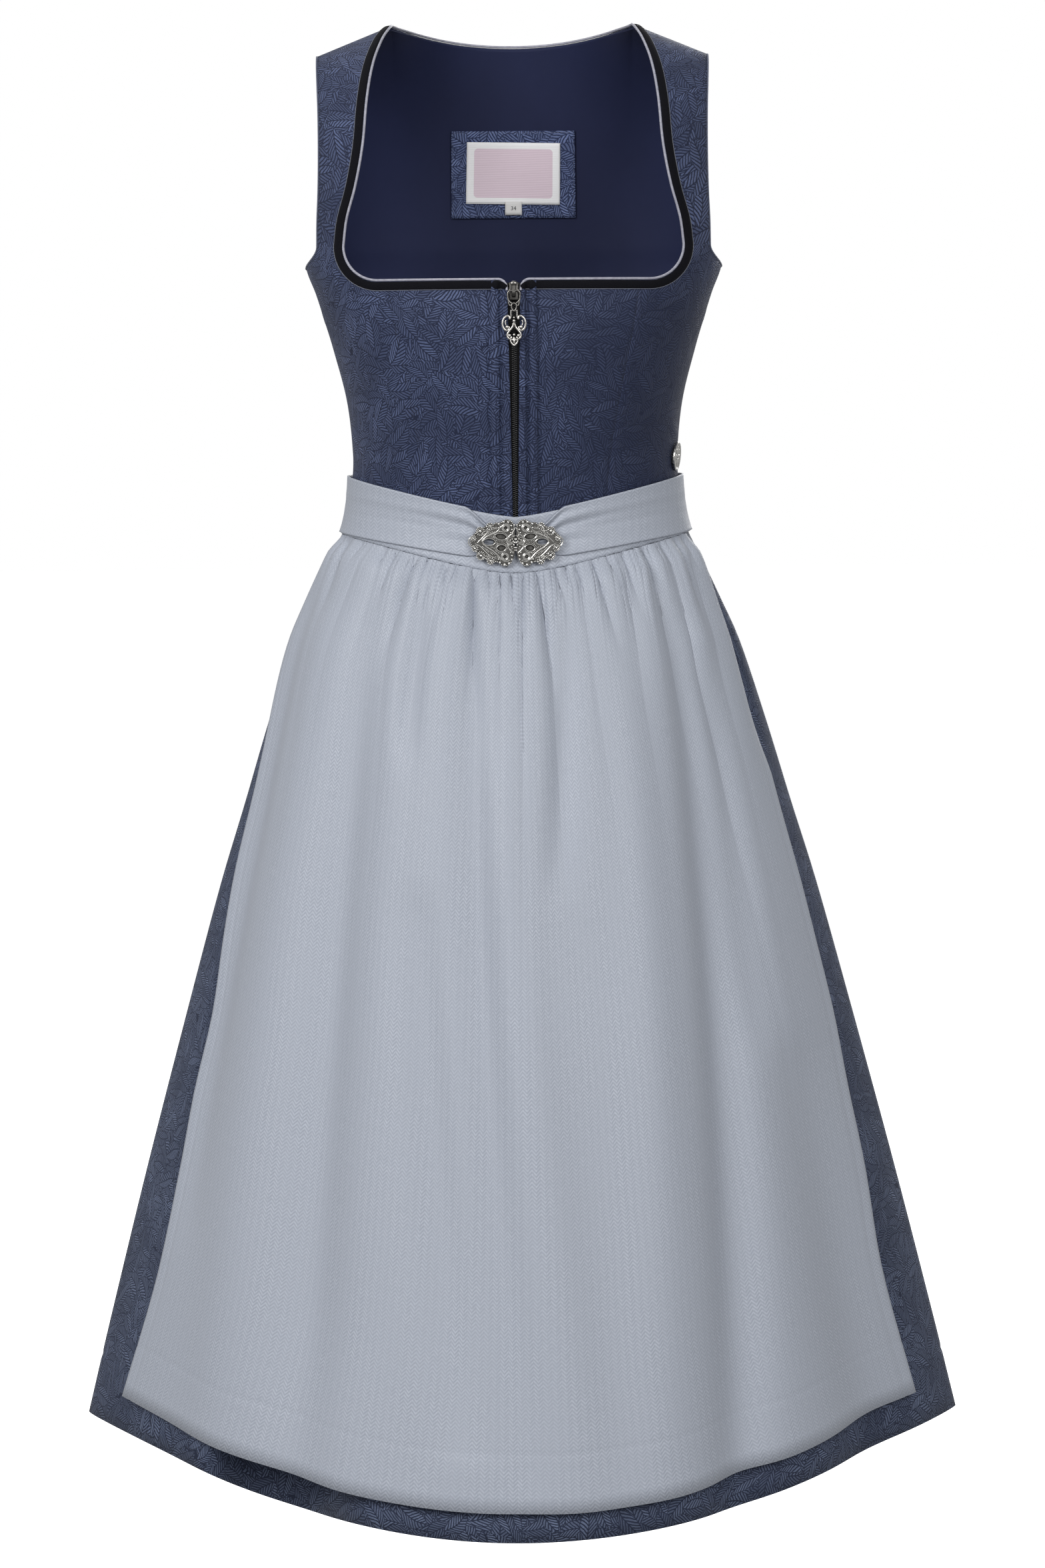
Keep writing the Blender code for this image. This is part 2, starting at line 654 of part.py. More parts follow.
def build_piping(front_neck, back_neck):
    """Cord along the neck edge, from one side of the zip round the back to the other."""
    half = front_neck + back_neck[::-1][1:]
    places = []
    for edge, inner in half:
        away = (edge - inner).normalized()
        places.append(edge + away * (PIPING_RADIUS + 2.0 * HALF_SEAM))
    start = blend(places[0], places[1], (PIPING_START_X - places[0].x) / (places[1].x - places[0].x))
    places[0] = start
    mirrored = [Vector((-p.x, p.y, p.z)) for p in reversed(places[:-1])]
    tube("neck_piping", places + mirrored, PIPING_RADIUS, SILVER_CORD, roughness=0.5)


# Zip

def zip_grid(half_widths):
    """Rows of points up the centre front between two panels."""
    rows = []
    for t in PANEL_ROWS:
        top = NECK_EDGE_Z - VELVET_WIDTH
        rows.append([blend_front(x, t, top) for x in half_widths])
    rows.append([on_front(x, NECK_EDGE_Z) for x in half_widths])
    return rows


def blend_front(x, t, top):
    """Point x from the centre, t of the way from the waist seam to the top."""
    share = share_at(x, WAIST_Z - WAIST_DIP, FRONT)
    for _ in range(3):
        z = blend(waist_z(share, FRONT), top, t)
        share = share_at(x, z, FRONT)
    return form_point(share, z, FRONT)


def build_zip():
    """Tape behind the panels' edges, with the chain of teeth between them."""
    tape = Sheet()
    tape.add_grid(zip_grid([0.0, ZIP_RELIEF[0].x, ZIP_HALF_TAPE]), "tape", FRONT)
    wall("zip_tape", tape, lambda tag, side: True, LINING_IN, LINING_OUT, BLACK_ZIP)
    chain = Sheet()
    chain.add_grid(zip_grid([0.0, ZIP_HALF_CHAIN]), "chain", FRONT)
    wall("zip_chain", chain, lambda tag, side: True, -CLOTH, CHAIN_LIFT, BLACK_ZIP)


# Castings

def plate(outline, holes, thickness):
    """Flat casting in the XZ plane, with holes, centred on y = 0."""
    bm = bmesh.new()
    for loop in [outline] + holes:
        verts = [bm.verts.new((x, -0.5 * thickness, z)) for x, z in loop]
        for a, b in zip(verts, verts[1:] + verts[:1]):
            bm.edges.new((a, b))
    filled = bmesh.ops.triangle_fill(bm, use_beauty=True, use_dissolve=False, edges=bm.edges)
    faces = [item for item in filled["geom"] if isinstance(item, bmesh.types.BMFace)]
    pushed = bmesh.ops.extrude_face_region(bm, geom=faces)
    moved = [item for item in pushed["geom"] if isinstance(item, bmesh.types.BMVert)]
    bmesh.ops.translate(bm, verts=moved, vec=(0.0, thickness, 0.0))
    bmesh.ops.recalc_face_normals(bm, faces=bm.faces)
    mesh = bpy.data.meshes.new("plate")
    bm.to_mesh(mesh)
    bm.free()
    return mesh


def ellipse(x, z, half_x, half_z, count=12, turn=0.0):
    """Closed outline of an ellipse."""
    points = []
    cosine, sine = math.cos(turn), math.sin(turn)
    for i in range(count):
        angle = 2.0 * math.pi * i / count
        a, b = half_x * math.cos(angle), half_z * math.sin(angle)
        points.append((x + a * cosine - b * sine, z + a * sine + b * cosine))
    return points


def both_sides(points):
    """A right-hand outline from top to bottom, with its mirror image back up."""
    return points + [(-x, z) for x, z in reversed(points) if x > 1e-6]


def join(piece, part):
    """Unite two closed shapes into one."""
    union = piece.modifiers.new("join", "BOOLEAN")
    union.operation = "UNION"
    union.object = part
    part.hide_render = True
    part.display_type = "WIRE"


def block(name, size):
    """Box with softly cut edges, centred on the origin."""
    bm = bmesh.new()
    bmesh.ops.create_cube(bm, size=1.0)
    bmesh.ops.scale(bm, verts=bm.verts, vec=size)
    bmesh.ops.bevel(bm, geom=bm.edges, offset=0.0006, segments=1, affect="EDGES", profile=0.5, material=-1)
    mesh = bpy.data.meshes.new(name)
    bm.to_mesh(mesh)
    bm.free()
    return mesh


def eye_mesh(name, outer, hole, width, foot):
    """Short ring about X, with a foot that reaches towards +Y where one is wanted."""
    rim = ellipse(0.0, 0.0, outer, outer, 16)
    if foot:
        rim = [(a, b) for a, b in rim if a < 0.3 * outer]
        rim.sort(key=lambda p: math.atan2(p[1], p[0]) % (2.0 * math.pi))
        rim += [(foot, -outer), (foot, outer)]
    mesh = plate(rim, [ellipse(0.0, 0.0, hole, hole, 12)], width)
    mesh.transform(Matrix.Rotation(math.radians(90.0), 4, "Z"))
    mesh.name = name
    return mesh


def helper(name, mesh):
    """Shape that is only there to be joined to another."""
    piece = bpy.data.objects.new(name, mesh)
    bpy.context.collection.objects.link(piece)
    return piece


def slider_place():
    """Middle of the slider's back, and the lean of the chain there."""
    low = on_front(0.0, SLIDER_Z - 0.004)
    high = on_front(0.0, SLIDER_Z + 0.004)
    up = (high - low).normalized()
    return on_front(0.0, SLIDER_Z), math.atan2(up.y, up.z)


def hinge_place():
    """Axis on which the pull's link hangs from the slider."""
    foot, lean = slider_place()
    reach = CHAIN_LIFT + 0.0003 + SLIDER_THICK + BRIDGE_RADIUS
    return foot + Vector((0.0, -math.cos(lean) * reach, math.sin(lean) * reach))


def build_slider():
    """Slider body with a bridge that holds the pull's link."""
    foot, lean = slider_place()
    turn = Matrix.Rotation(-lean, 4, "X")
    middle = CHAIN_LIFT + 0.0003 + 0.5 * SLIDER_THICK
    mesh = block("zip_slider", (SLIDER_WIDTH, SLIDER_THICK, SLIDER_HEIGHT))
    mesh.transform(Matrix.Translation((0.0, -middle, 0.0)))
    mesh.transform(Matrix.Translation(foot) @ turn)
    body = make_object("zip_slider", mesh, OLD_SILVER, roughness=0.35, metallic=1.0)
    bridge = eye_mesh("bridge", BRIDGE_RADIUS, PIN_HOLE_RADIUS, BRIDGE_WIDTH, BRIDGE_RADIUS + 0.0008)
    bridge.transform(Matrix.Translation(hinge_place()) @ turn)
    join(body, helper("slider_bridge", bridge))


def build_pull():
    """Wishbone link on the slider's bridge, and the pendant that hangs in its eye."""
    hinge = hinge_place()
    wishbone = [(0.0, PIN_HALF), (0.0030, PIN_HALF), (0.0041, -0.0004), (0.0044, -0.0030), (0.0040, -0.0058),
                (0.0030, -0.0085), (0.0022, -0.0105), (0.0010, -0.0122), (0.0, -0.0125)]
    opening = [(0.0, -PIN_HALF), (0.0026, -PIN_HALF), (0.0031, -0.0014), (0.0033, -0.0032), (0.0028, -0.0056),
               (0.0017, -0.0074), (0.0, -0.0086)]
    mesh = plate(both_sides(wishbone), [both_sides(opening)], CASTING_THICK)
    link = make_object("pull_link", mesh, OLD_SILVER, roughness=0.35, metallic=1.0)
    link.location = hinge
    eye = eye_mesh("eye", 0.0021, PIN_HOLE_RADIUS, 0.0018, 0.0)
    ring = helper("link_eye", eye)
    ring.location = hinge - Vector((0.0, 0.0, LINK_LENGTH))
    join(link, ring)

    outline = [(0.0, PIN_HALF), (0.0028, PIN_HALF), (0.0030, -0.0030), (0.0052, -0.0036), (0.0076, -0.0058),
               (0.0084, -0.0085), (0.0076, -0.0114), (0.0056, -0.0128), (0.0040, -0.0124), (0.0050, -0.0152),
               (0.0046, -0.0176), (0.0030, -0.0186), (0.0022, -0.0196), (0.0018, -0.0218), (0.0, -0.0242)]
    top_hole = [(0.0, -PIN_HALF), (0.0019, -PIN_HALF), (0.0019, -0.0032), (0.0, -0.0032)]
    scroll = [(0.0030, -0.0056), (0.0058, -0.0068), (0.0062, -0.0092), (0.0044, -0.0098), (0.0026, -0.0086)]
    drop = [(0.0, -0.0090), (0.0014, -0.0126), (0.0024, -0.0150), (0.0, -0.0158)]
    holes = [both_sides(top_hole), scroll, [(-x, z) for x, z in scroll], both_sides(drop)]
    mesh = plate(both_sides(outline), holes, CASTING_THICK)
    pendant = make_object("pull_pendant", mesh, OLD_SILVER, roughness=0.35, metallic=1.0)
    pendant.parent = link
    pendant.location = (0.0, 0.0, -LINK_LENGTH)


def build_clasp():
    """Two pierced castings that hook together at the centre front."""
    outline = [(0.0004, 0.0100), (0.0012, 0.0135), (0.0030, 0.0160), (0.0060, 0.0171), (0.0088, 0.0160),
               (0.0112, 0.0146), (0.0139, 0.0148), (0.0164, 0.0132), (0.0190, 0.0127), (0.0218, 0.0118),
               (0.0247, 0.0107), (0.0270, 0.0090), (0.0290, 0.0074), (0.0308, 0.0056), (0.0322, 0.0034),
               (0.0327, 0.0005), (0.0318, -0.0018), (0.0300, -0.0034), (0.0294, -0.0056), (0.0272, -0.0078),
               (0.0246, -0.0096), (0.0213, -0.0121), (0.0173, -0.0134), (0.0146, -0.0138), (0.0119, -0.0142),
               (0.0100, -0.0162), (0.0079, -0.0172), (0.0050, -0.0163), (0.0026, -0.0138), (0.0012, -0.0105),
               (0.0004, -0.0070)]
    holes = [
        ellipse(0.0069, 0.0107, 0.0016, 0.0016, 10),
        ellipse(0.0076, -0.0098, 0.0016, 0.0016, 10),
        ellipse(0.0103, 0.0046, 0.0040, 0.0020, 12, math.radians(8.0)),
        ellipse(0.0188, 0.0008, 0.0040, 0.0021, 12),
        ellipse(0.0100, -0.0036, 0.0030, 0.0020, 10),
    ]
    front = form_point(0.0, CLASP_Z, FRONT)
    up = form_point(0.0, CLASP_Z + 0.015, FRONT) - form_point(0.0, CLASP_Z - 0.015, FRONT)
    lean = Matrix.Rotation(-math.atan2(up.y, up.z), 4, "X")
    for hand, word in ((LEFT, "left"), (RIGHT, "right")):
        mesh = plate(outline, holes, CLASP_THICK)
        if hand == RIGHT:
            mesh.transform(Matrix.Scale(-1.0, 4, (1.0, 0.0, 0.0)))
            mesh.flip_normals()
        mesh.transform(Matrix.Rotation(hand * CLASP_TURN, 4, "Z"))
        out = TIE_OUT + CLASP_LIFT + 0.5 * CLASP_THICK
        mesh.transform(Matrix.Translation((hand * 0.0002, front.y - out, CLASP_Z)) @ lean)
        make_object(f"clasp_{word}", mesh, OLD_SILVER, roughness=0.35, metallic=1.0)


def build_badge():
    """Round disc with a raised rim, fixed flat on the left side of the waist."""
    near = form_point(BADGE_SHARE, BADGE_Z, FRONT)
    along = form_point(BADGE_SHARE + 0.02, BADGE_Z, FRONT) - near
    up = form_point(BADGE_SHARE, BADGE_Z + 0.006, FRONT) - near
    normal = along.cross(up).normalized()
    profile = [(0.0, 0.0), (BADGE_RADIUS, 0.0), (BADGE_RADIUS, 0.7 * BADGE_THICK),
               (BADGE_RADIUS - 0.0006, BADGE_THICK), (BADGE_RADIUS - 0.0014, BADGE_THICK),
               (BADGE_RADIUS - 0.0020, 0.6 * BADGE_THICK), (0.0, 0.75 * BADGE_THICK)]
    bm = bmesh.new()
    verts = [bm.verts.new((r, 0.0, h)) for r, h in profile]
    edges = [bm.edges.new(pair) for pair in zip(verts, verts[1:])]
    bmesh.ops.spin(bm, geom=verts + edges, cent=(0.0, 0.0, 0.0), axis=(0.0, 0.0, 1.0), dvec=(0.0, 0.0, 0.0),
                   angle=2.0 * math.pi, steps=24, use_merge=True)
    bmesh.ops.remove_doubles(bm, verts=bm.verts, dist=1e-6)
    bmesh.ops.recalc_face_normals(bm, faces=bm.faces)
    mesh = bpy.data.meshes.new("waist_badge")
    bm.to_mesh(mesh)
    bm.free()
    place = normal.to_track_quat("Z", "Y").to_matrix().to_4x4()
    mesh.transform(Matrix.Translation(near + normal * BADGE_LIFT) @ place)
    make_object("waist_badge", mesh, OLD_SILVER, roughness=0.4, metallic=1.0)


# Label inside the back

def build_label():
    """Patch on the lining, the label on it and the small tab below."""
    pieces = [
        ("label_patch", PATCH_HALF_WIDTH, PATCH_TOP_Z, PATCH_LOW_Z, PATCH_IN, PATCH_OUT, LEAF_COTTON, 5),
        ("neck_label", LABEL_HALF_WIDTH, LABEL_TOP_Z, LABEL_LOW_Z, LABEL_IN, LABEL_OUT, LABEL_WHITE, 4),
        ("size_tab", TAB_HALF_WIDTH, TAB_TOP_Z, TAB_LOW_Z, TAB_IN, TAB_OUT, LABEL_WHITE, 1),
    ]
    for name, half, top, low, inner, outer, colour, steps in pieces:
        sheet = Sheet()
        rows = []
        for k in range(5):
            z = blend(low, top, k / 4)
            rows.append([back_at(half * i / steps, z) for i in range(steps + 1)])
        sheet.add_grid(rows, "patch", BACK)
        wall(name, sheet, lambda tag, side: True, inner, outer, colour)


# Skirt, apron and ties

def folded(folds, place, reach):
    """How far the large folds move the cloth out at a place across it and a reach down it."""
    out = 0.0
    for fold in folds:
        span = (reach - fold.starts) / (fold.ends - fold.starts)
        if 0.0 < span < 1.0:
            centre = blend(fold.top_place, fold.low_place, span)
            swell = math.sin(math.pi * min(span, 1.0)) ** 0.6
            out -= fold.depth * swell * math.exp(-((place - centre) / fold.width) ** 2)
    return out * soft_step(reach / 0.12)


def skirt_point(share, reach, side):
    """Point on the skirt, without its folds: share round it and reach from waist seam to hem."""
    level = blend(WAIST_Z, HEM_Z, reach)
    x, y, shares = plan_curve(round(level, 6), side)
    out_x = math.copysign(float(np.interp(abs(share), shares, x)), share)
    out_y = side * float(np.interp(abs(share), shares, y))
    top = waist_z(share, side)
    return Vector((out_x, out_y, blend(top, hem_z(share, side), reach)))


def skirt_out(share, reach, side):
    """Level direction out of the skirt."""
    step = 0.01
    a = skirt_point(max(share - step, -1.0), reach, side)
    b = skirt_point(min(share + step, 1.0), reach, side)
    along = (b - a) * (-side)
    out = Vector((along.y, -along.x, 0.0)).normalized()
    ease = soft_step((1.0 - abs(share)) / 0.06)
    return (out * ease + Vector((math.copysign(1.0, share), 0.0, 0.0)) * (1.0 - ease)).normalized()


def skirt_fold(share, reach, side):
    """How far the skirt's cloth stands out of its form, fading to nothing at the side seams."""
    folds = FRONT_FOLDS if side == FRONT else BACK_FOLDS
    return folded(folds, share, reach) * soft_step((1.0 - abs(share)) / 0.05)


def gather(column, reach, fade):
    """Fine gathers: every other column stands out, fading at uneven lengths."""
    if column % 2:
        return 0.0
    uneven = 1.0 + 0.45 * math.sin(2.4 * column) + 0.25 * math.sin(0.9 * column)
    return GATHER_DEPTH * math.exp(-((reach / (fade * uneven)) ** 2))


def pressed(reach):
    """Share of their depth that the gathers keep under the ties."""
    return 0.25 + 0.75 * soft_step(reach / GATHER_PRESSED)


def build_skirt():
    """Front and back of the skirt, gathered into the waist seam."""
    sheet = Sheet()
    for side, columns, tag in ((FRONT, FRONT_COLUMNS, "front"), (BACK, BACK_COLUMNS, "back")):
        rows = []
        for reach in reversed(SKIRT_ROWS):
            row = []
            for i in range(columns + 1):
                share = -1.0 + 2.0 * i / columns
                out = skirt_fold(share, reach, side)
                if 0 < i < columns and side == BACK:
                    out += gather(i, reach, GATHER_FADE) * pressed(reach)
                down = Vector((0.0, 0.0, -2.0 * HALF_SEAM if reach == 0.0 else 0.0))
                row.append(skirt_point(share, reach, side) + skirt_out(share, reach, side) * out + down)
            rows.append(row)
        sheet.add_grid(rows, tag, side, both=False)
    wall("skirt_front", sheet, lambda tag, side: tag == "front", -CLOTH, 0.0, LEAF_COTTON)
    wall("skirt_back", sheet, lambda tag, side: tag == "back", -CLOTH, 0.0, LEAF_COTTON)


def apron_reach(share):
    """Reach down the skirt of the apron's top edge and of its hem."""
    top_z = BAND_LOW_Z - BAND_LOW_DIP * front_dip(share)
    waist = waist_z(share, FRONT)
    hem = hem_z(share, FRONT)
    gap = APRON_HEM_GAP + APRON_CORNER_GAP * share * share
    return (top_z - waist) / (hem - waist), 1.0 - gap / (waist - hem)


def build_apron():
    """Apron over the skirt's front, gathered under its band."""
    sheet = Sheet()
    rows = []
    for row_reach in reversed(SKIRT_ROWS):
        row = []
        for i in range(APRON_COLUMNS + 1):
            place = -1.0 + 2.0 * i / APRON_COLUMNS
            level = blend(WAIST_Z, HEM_Z, row_reach)
            edge = read_table(APRON_EDGE, "reach", level)
            widest = share_of_width(edge, level)
            share = place * widest
            top, low = apron_reach(share)
            reach = blend(top, low, row_reach)
            out = skirt_fold(share, reach, FRONT) + blend(0.0, APRON_LIFT_LOW, soft_step(row_reach / 0.10))
            if 0 < i < APRON_COLUMNS:
                out += gather(i, row_reach, GATHER_FADE)
            row.append(skirt_point(share, reach, FRONT) + skirt_out(share, reach, FRONT) * out)
        rows.append(row)
    sheet.add_grid(rows, "apron", FRONT, both=False)
    wall("apron", sheet, lambda tag, side: True, APRON_LIFT_TOP, APRON_LIFT_TOP + APRON_CLOTH,
         APRON_CLOTH_BLUE, roughness=0.55)


def share_of_width(width_share, level):
    """Share of the half girth at which the skirt has a given share of its half width."""
    x, _, shares = plan_curve(round(level, 6), FRONT)
    return float(np.interp(width_share * x[-1], x, shares))


def build_band():
    """Waistband of the apron, across the front."""
    sheet = Sheet()
    rows = []
    for k in range(4):
        row = []
        for i in range(21):
            share = 0.985 * i / 20
            low = BAND_LOW_Z - BAND_LOW_DIP * front_dip(share) + 2.0 * HALF_SEAM
            top = BAND_TOP_Z - TIE_TOP_DIP * front_dip(share)
            row.append(form_point(share, blend(low, top, k / 3), FRONT))
        rows.append(row)
    sheet.add_grid(rows, "band", FRONT)
    wall("apron_band", sheet, lambda tag, side: True, BAND_IN, BAND_OUT, APRON_CLOTH_BLUE, roughness=0.55)


def tie_heights(share, x):
    """Lower and upper edge of a tie, drawn together towards its end at the clasp."""
    low = TIE_LOW_Z - TIE_LOW_DIP * front_dip(share)
    top = TIE_TOP_Z - TIE_TOP_DIP * front_dip(share)
    pinch = TIE_PINCH * (1.0 - soft_step((x - TIE_END_X) / (TIE_PINCH_X - TIE_END_X)))
    return low + pinch, top - pinch


def build_ties():
    """Ties from the clasp over the band, round the sides and on to the centre back."""
    sheet = Sheet()
    first = share_at(TIE_END_X, CLASP_Z, FRONT)
    shares = [blend(first, 1.0, i / 18) for i in range(19)]
    front_rows = []
    for k in range(4):
        row = []
        for share in shares:
            x = form_point(share, CLASP_Z, FRONT).x
            low, top = tie_heights(share, x)
            row.append(form_point(share, blend(low, top, k / 3), FRONT))
        front_rows.append(row)
    back_rows = []
    for k in range(4):
        z = blend(TIE_LOW_Z, TIE_TOP_Z, k / 3)
        back_rows.append([form_point(i / 14, z, BACK) for i in range(15)])
    sheet.add_grid(front_rows, "tie", FRONT)
    sheet.add_grid(back_rows, "tie", BACK)
    for hand, word in ((LEFT, "left"), (RIGHT, "right")):
        wall(f"tie_{word}", sheet, lambda tag, side, h=hand: side == h, TIE_IN, TIE_OUT,
             APRON_CLOTH_BLUE, roughness=0.55)


build_bodice()
build_zip()
build_slider()
build_pull()
build_label()
build_skirt()
build_apron()
build_band()
build_ties()
build_clasp()
build_badge()
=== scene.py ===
"""Looks of a dirndl: its leaf-print bodice and skirt, its apron, and their trimmings and castings.

Metres, +Z up. The front faces -Y, the wearer's left is +X, and the origin lies between the shoulders.
A place on the garment is given by its share of the half girth, from 0 at the centre to 1 at the side
seam, and by its height; a negative share lies on the wearer's right.
"""

import math
from collections import namedtuple
from functools import lru_cache

import bmesh
import bpy
import numpy as np
from mathutils import Matrix, Vector


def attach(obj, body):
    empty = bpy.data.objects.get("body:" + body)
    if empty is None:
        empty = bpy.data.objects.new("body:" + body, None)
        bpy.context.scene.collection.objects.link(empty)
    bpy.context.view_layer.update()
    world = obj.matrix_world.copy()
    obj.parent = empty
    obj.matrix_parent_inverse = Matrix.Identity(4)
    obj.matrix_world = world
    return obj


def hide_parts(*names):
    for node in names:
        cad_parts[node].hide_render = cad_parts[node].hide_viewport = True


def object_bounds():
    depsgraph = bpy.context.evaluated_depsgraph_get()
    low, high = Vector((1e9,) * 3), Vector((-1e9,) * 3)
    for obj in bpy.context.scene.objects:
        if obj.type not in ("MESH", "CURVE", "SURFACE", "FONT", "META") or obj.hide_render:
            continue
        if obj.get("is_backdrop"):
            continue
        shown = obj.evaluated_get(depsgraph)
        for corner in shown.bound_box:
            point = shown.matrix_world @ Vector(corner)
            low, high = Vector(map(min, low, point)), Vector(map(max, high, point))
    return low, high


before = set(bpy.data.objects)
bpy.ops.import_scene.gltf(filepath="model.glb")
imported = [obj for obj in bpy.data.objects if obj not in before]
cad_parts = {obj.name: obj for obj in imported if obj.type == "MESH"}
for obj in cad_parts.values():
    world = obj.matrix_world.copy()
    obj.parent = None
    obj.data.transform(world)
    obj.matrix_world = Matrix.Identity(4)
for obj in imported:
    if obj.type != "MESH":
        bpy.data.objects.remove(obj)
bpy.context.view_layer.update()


# Front of the bodice
# Four panels of cotton with a leaf print, lined in plain navy and joined at two princess seams. A lip and
# a boning channel are stitched down each side of the zip. The straps are cut in one with the side panels.

FRONT, BACK = -1, 1
LEFT, RIGHT = 1, -1
HANDS = ((LEFT, "left"), (RIGHT, "right"))

WAIST_Z, WAIST_DIP, DIP_POWER = -0.3470, 0.0260, 1.3
HEM_Z, HEM_DIP, HEM_POWER = -1.0230, 0.0425, 2.0
NECK_EDGE_Z = -0.1868
STRAP_BASE_Z = -0.1608
UNDERARM_Z = -0.1755
FITTED_TO_Z = -0.1800
CORNER_RADIUS = 0.0260
NECK_SIDE_X, ARMHOLE_X = 0.1225, 0.1415
NECK_POINT_X, SHOULDER_X, SHOULDER_DROP = 0.0885, 0.1423, 0.0215
BACK_NECK_RISE = 0.1150
PRINCESS_TOP_X, PRINCESS_WAIST_X = 0.0900, 0.0660
LIP_TOP_X, LIP_WAIST_X = 0.0046, 0.0017
CHANNEL_END_X = 0.0205
COTTON = 0.0012
WELD = 0.00002
SEAM_DRAW, SEAM_REACH = 0.0005, 0.0016
NECK_ROUND_DROP, NECK_ROUND_WIDTH = 0.0025, 0.006
STRAP_COLUMNS, CORNER_COLUMNS, STRAP_ROWS, FRONT_SCOOP = 14, 14, 44, 16
CENTRE_ROWS, SIDE_ROWS = 80, 60
CENTRE_FLAT, SIDE_FLAT = (0.092, 0.186), (0.150, 0.420)


def table(row_type, rows):
    """Table whose columns have names."""
    return [row_type(*row) for row in rows]


Section = namedtuple("Section", "z half_width front back width_power depth_power")
SECTIONS = table(Section, [
    (-0.1600, 0.1518, 0.1130, 0.0960, 2.60, 2.60),
    (-0.1755, 0.1515, 0.1165, 0.0975, 2.60, 2.60),
    (-0.1939, 0.1447, 0.1203, 0.0985, 2.55, 2.55),
    (-0.2134, 0.1386, 0.1212, 0.0982, 2.50, 2.50),
    (-0.2328, 0.1328, 0.1185, 0.0965, 2.45, 2.45),
    (-0.2718, 0.1230, 0.1085, 0.0905, 2.35, 2.35),
    (-0.3108, 0.1190, 0.0965, 0.0850, 2.25, 2.25),
    (-0.3300, 0.1196, 0.0920, 0.0838, 2.20, 2.20),
    (-0.3470, 0.1210, 0.0900, 0.0845, 2.15, 2.15),
    (-0.3676, 0.1258, 0.0930, 0.0885, 2.10, 2.05),
    (-0.3891, 0.1368, 0.1010, 0.0980, 2.05, 1.90),
    (-0.4186, 0.1508, 0.1120, 0.1100, 2.00, 1.75),
    (-0.4481, 0.1640, 0.1215, 0.1200, 2.00, 1.65),
    (-0.5072, 0.1835, 0.1375, 0.1360, 2.00, 1.50),
    (-0.5665, 0.2015, 0.1520, 0.1500, 2.00, 1.40),
    (-0.6259, 0.2200, 0.1650, 0.1625, 2.00, 1.33),
    (-0.7155, 0.2448, 0.1850, 0.1810, 2.00, 1.27),
    (-0.8358, 0.2771, 0.2080, 0.2030, 2.00, 1.22),
    (-0.9562, 0.3077, 0.2290, 0.2230, 2.00, 1.19),
    (-1.0230, 0.3240, 0.2400, 0.2330, 2.00, 1.18),
])

StrapEdge = namedtuple("StrapEdge", "z neck_x armhole_x")
STRAP = table(StrapEdge, [
    (STRAP_BASE_Z, NECK_SIDE_X, ARMHOLE_X), (-0.1400, 0.1200, 0.1412), (-0.1150, 0.1135, 0.1402),
    (-0.0850, 0.1082, 0.1398), (-0.0500, 0.1052, 0.1402), (-0.0250, 0.1010, 0.1412),
    (-0.0080, 0.0945, 0.1420), (0.0, NECK_POINT_X, SHOULDER_X),
])

# Lip, stitched groove, boning channel and second groove, by distance from the centre
Relief = namedtuple("Relief", "x lift")
ZIP_RELIEF = table(Relief, [
    (0.0020, 0.0004), (0.0040, 0.0012), (0.0076, 0.0014), (0.0087, -0.0011), (0.0101, -0.0012),
    (0.0112, 0.0008), (0.0136, 0.0017), (0.0158, 0.0010), (0.0168, -0.0012), (0.0180, -0.0011),
    (0.0200, 0.0),
])

# Soft creases: a place on the panel, its run across and down, how far it stands out, and its half width
Crease = namedtuple("Crease", "share z run fall depth width")
BODICE_CREASES = table(Crease, [
    (0.93, -0.208, -0.16, -0.020, 0.0007, 0.0045),
    (0.90, -0.232, -0.12, -0.004, -0.0005, 0.0040),
    (0.94, -0.300, -0.20, 0.008, 0.0008, 0.0040),
    (0.97, -0.316, -0.24, 0.004, -0.0006, 0.0035),
    (0.55, -0.338, 0.14, 0.016, 0.0005, 0.0045),
    (0.33, -0.212, 0.10, -0.016, 0.0005, 0.0060),
])


def mix(a, b, share):
    """Go from a to b."""
    return a + (b - a) * share


def soft_step(value):
    """Rise from 0 to 1 with soft ends."""
    value = min(max(value, 0.0), 1.0)
    return value * value * (3.0 - 2.0 * value)


def read_table(table, column, z):
    """Read one column of a table by its first column, with a soft curve through its rows."""
    heights = [row[0] for row in table]
    values = [getattr(row, column) for row in table]
    if heights[0] > heights[-1]:
        heights.reverse()
        values.reverse()
    z = min(max(z, heights[0]), heights[-1])
    i = min(max(int(np.searchsorted(heights, z)) - 1, 0), len(heights) - 2)

    def slope(k):
        low, high = max(k - 1, 0), min(k + 1, len(heights) - 1)
        return (values[high] - values[low]) / (heights[high] - heights[low])

    span = heights[i + 1] - heights[i]
    t = (z - heights[i]) / span
    return ((2 * t**3 - 3 * t**2 + 1) * values[i] + (t**3 - 2 * t**2 + t) * span * slope(i)
            + (3 * t**2 - 2 * t**3) * values[i + 1] + (t**3 - t**2) * span * slope(i + 1))


@lru_cache(maxsize=None)
def plan_curve(level, side):
    """Quarter of the garment's plan at one level: its points, the share of its length at each, its length."""
    half = read_table(SECTIONS, "half_width", level)
    depth = read_table(SECTIONS, "front" if side == FRONT else "back", level)
    across = 2.0 / read_table(SECTIONS, "width_power", level)
    deep = 2.0 / read_table(SECTIONS, "depth_power", level)
    angles = 0.5 * math.pi * np.linspace(0.0, 1.0, 181)
    x = half * np.sin(angles) ** across
    y = depth * np.abs(np.cos(angles)) ** deep
    length = np.concatenate([[0.0], np.cumsum(np.hypot(np.diff(x), np.diff(y)))])
    return x, y, length / length[-1], float(length[-1])


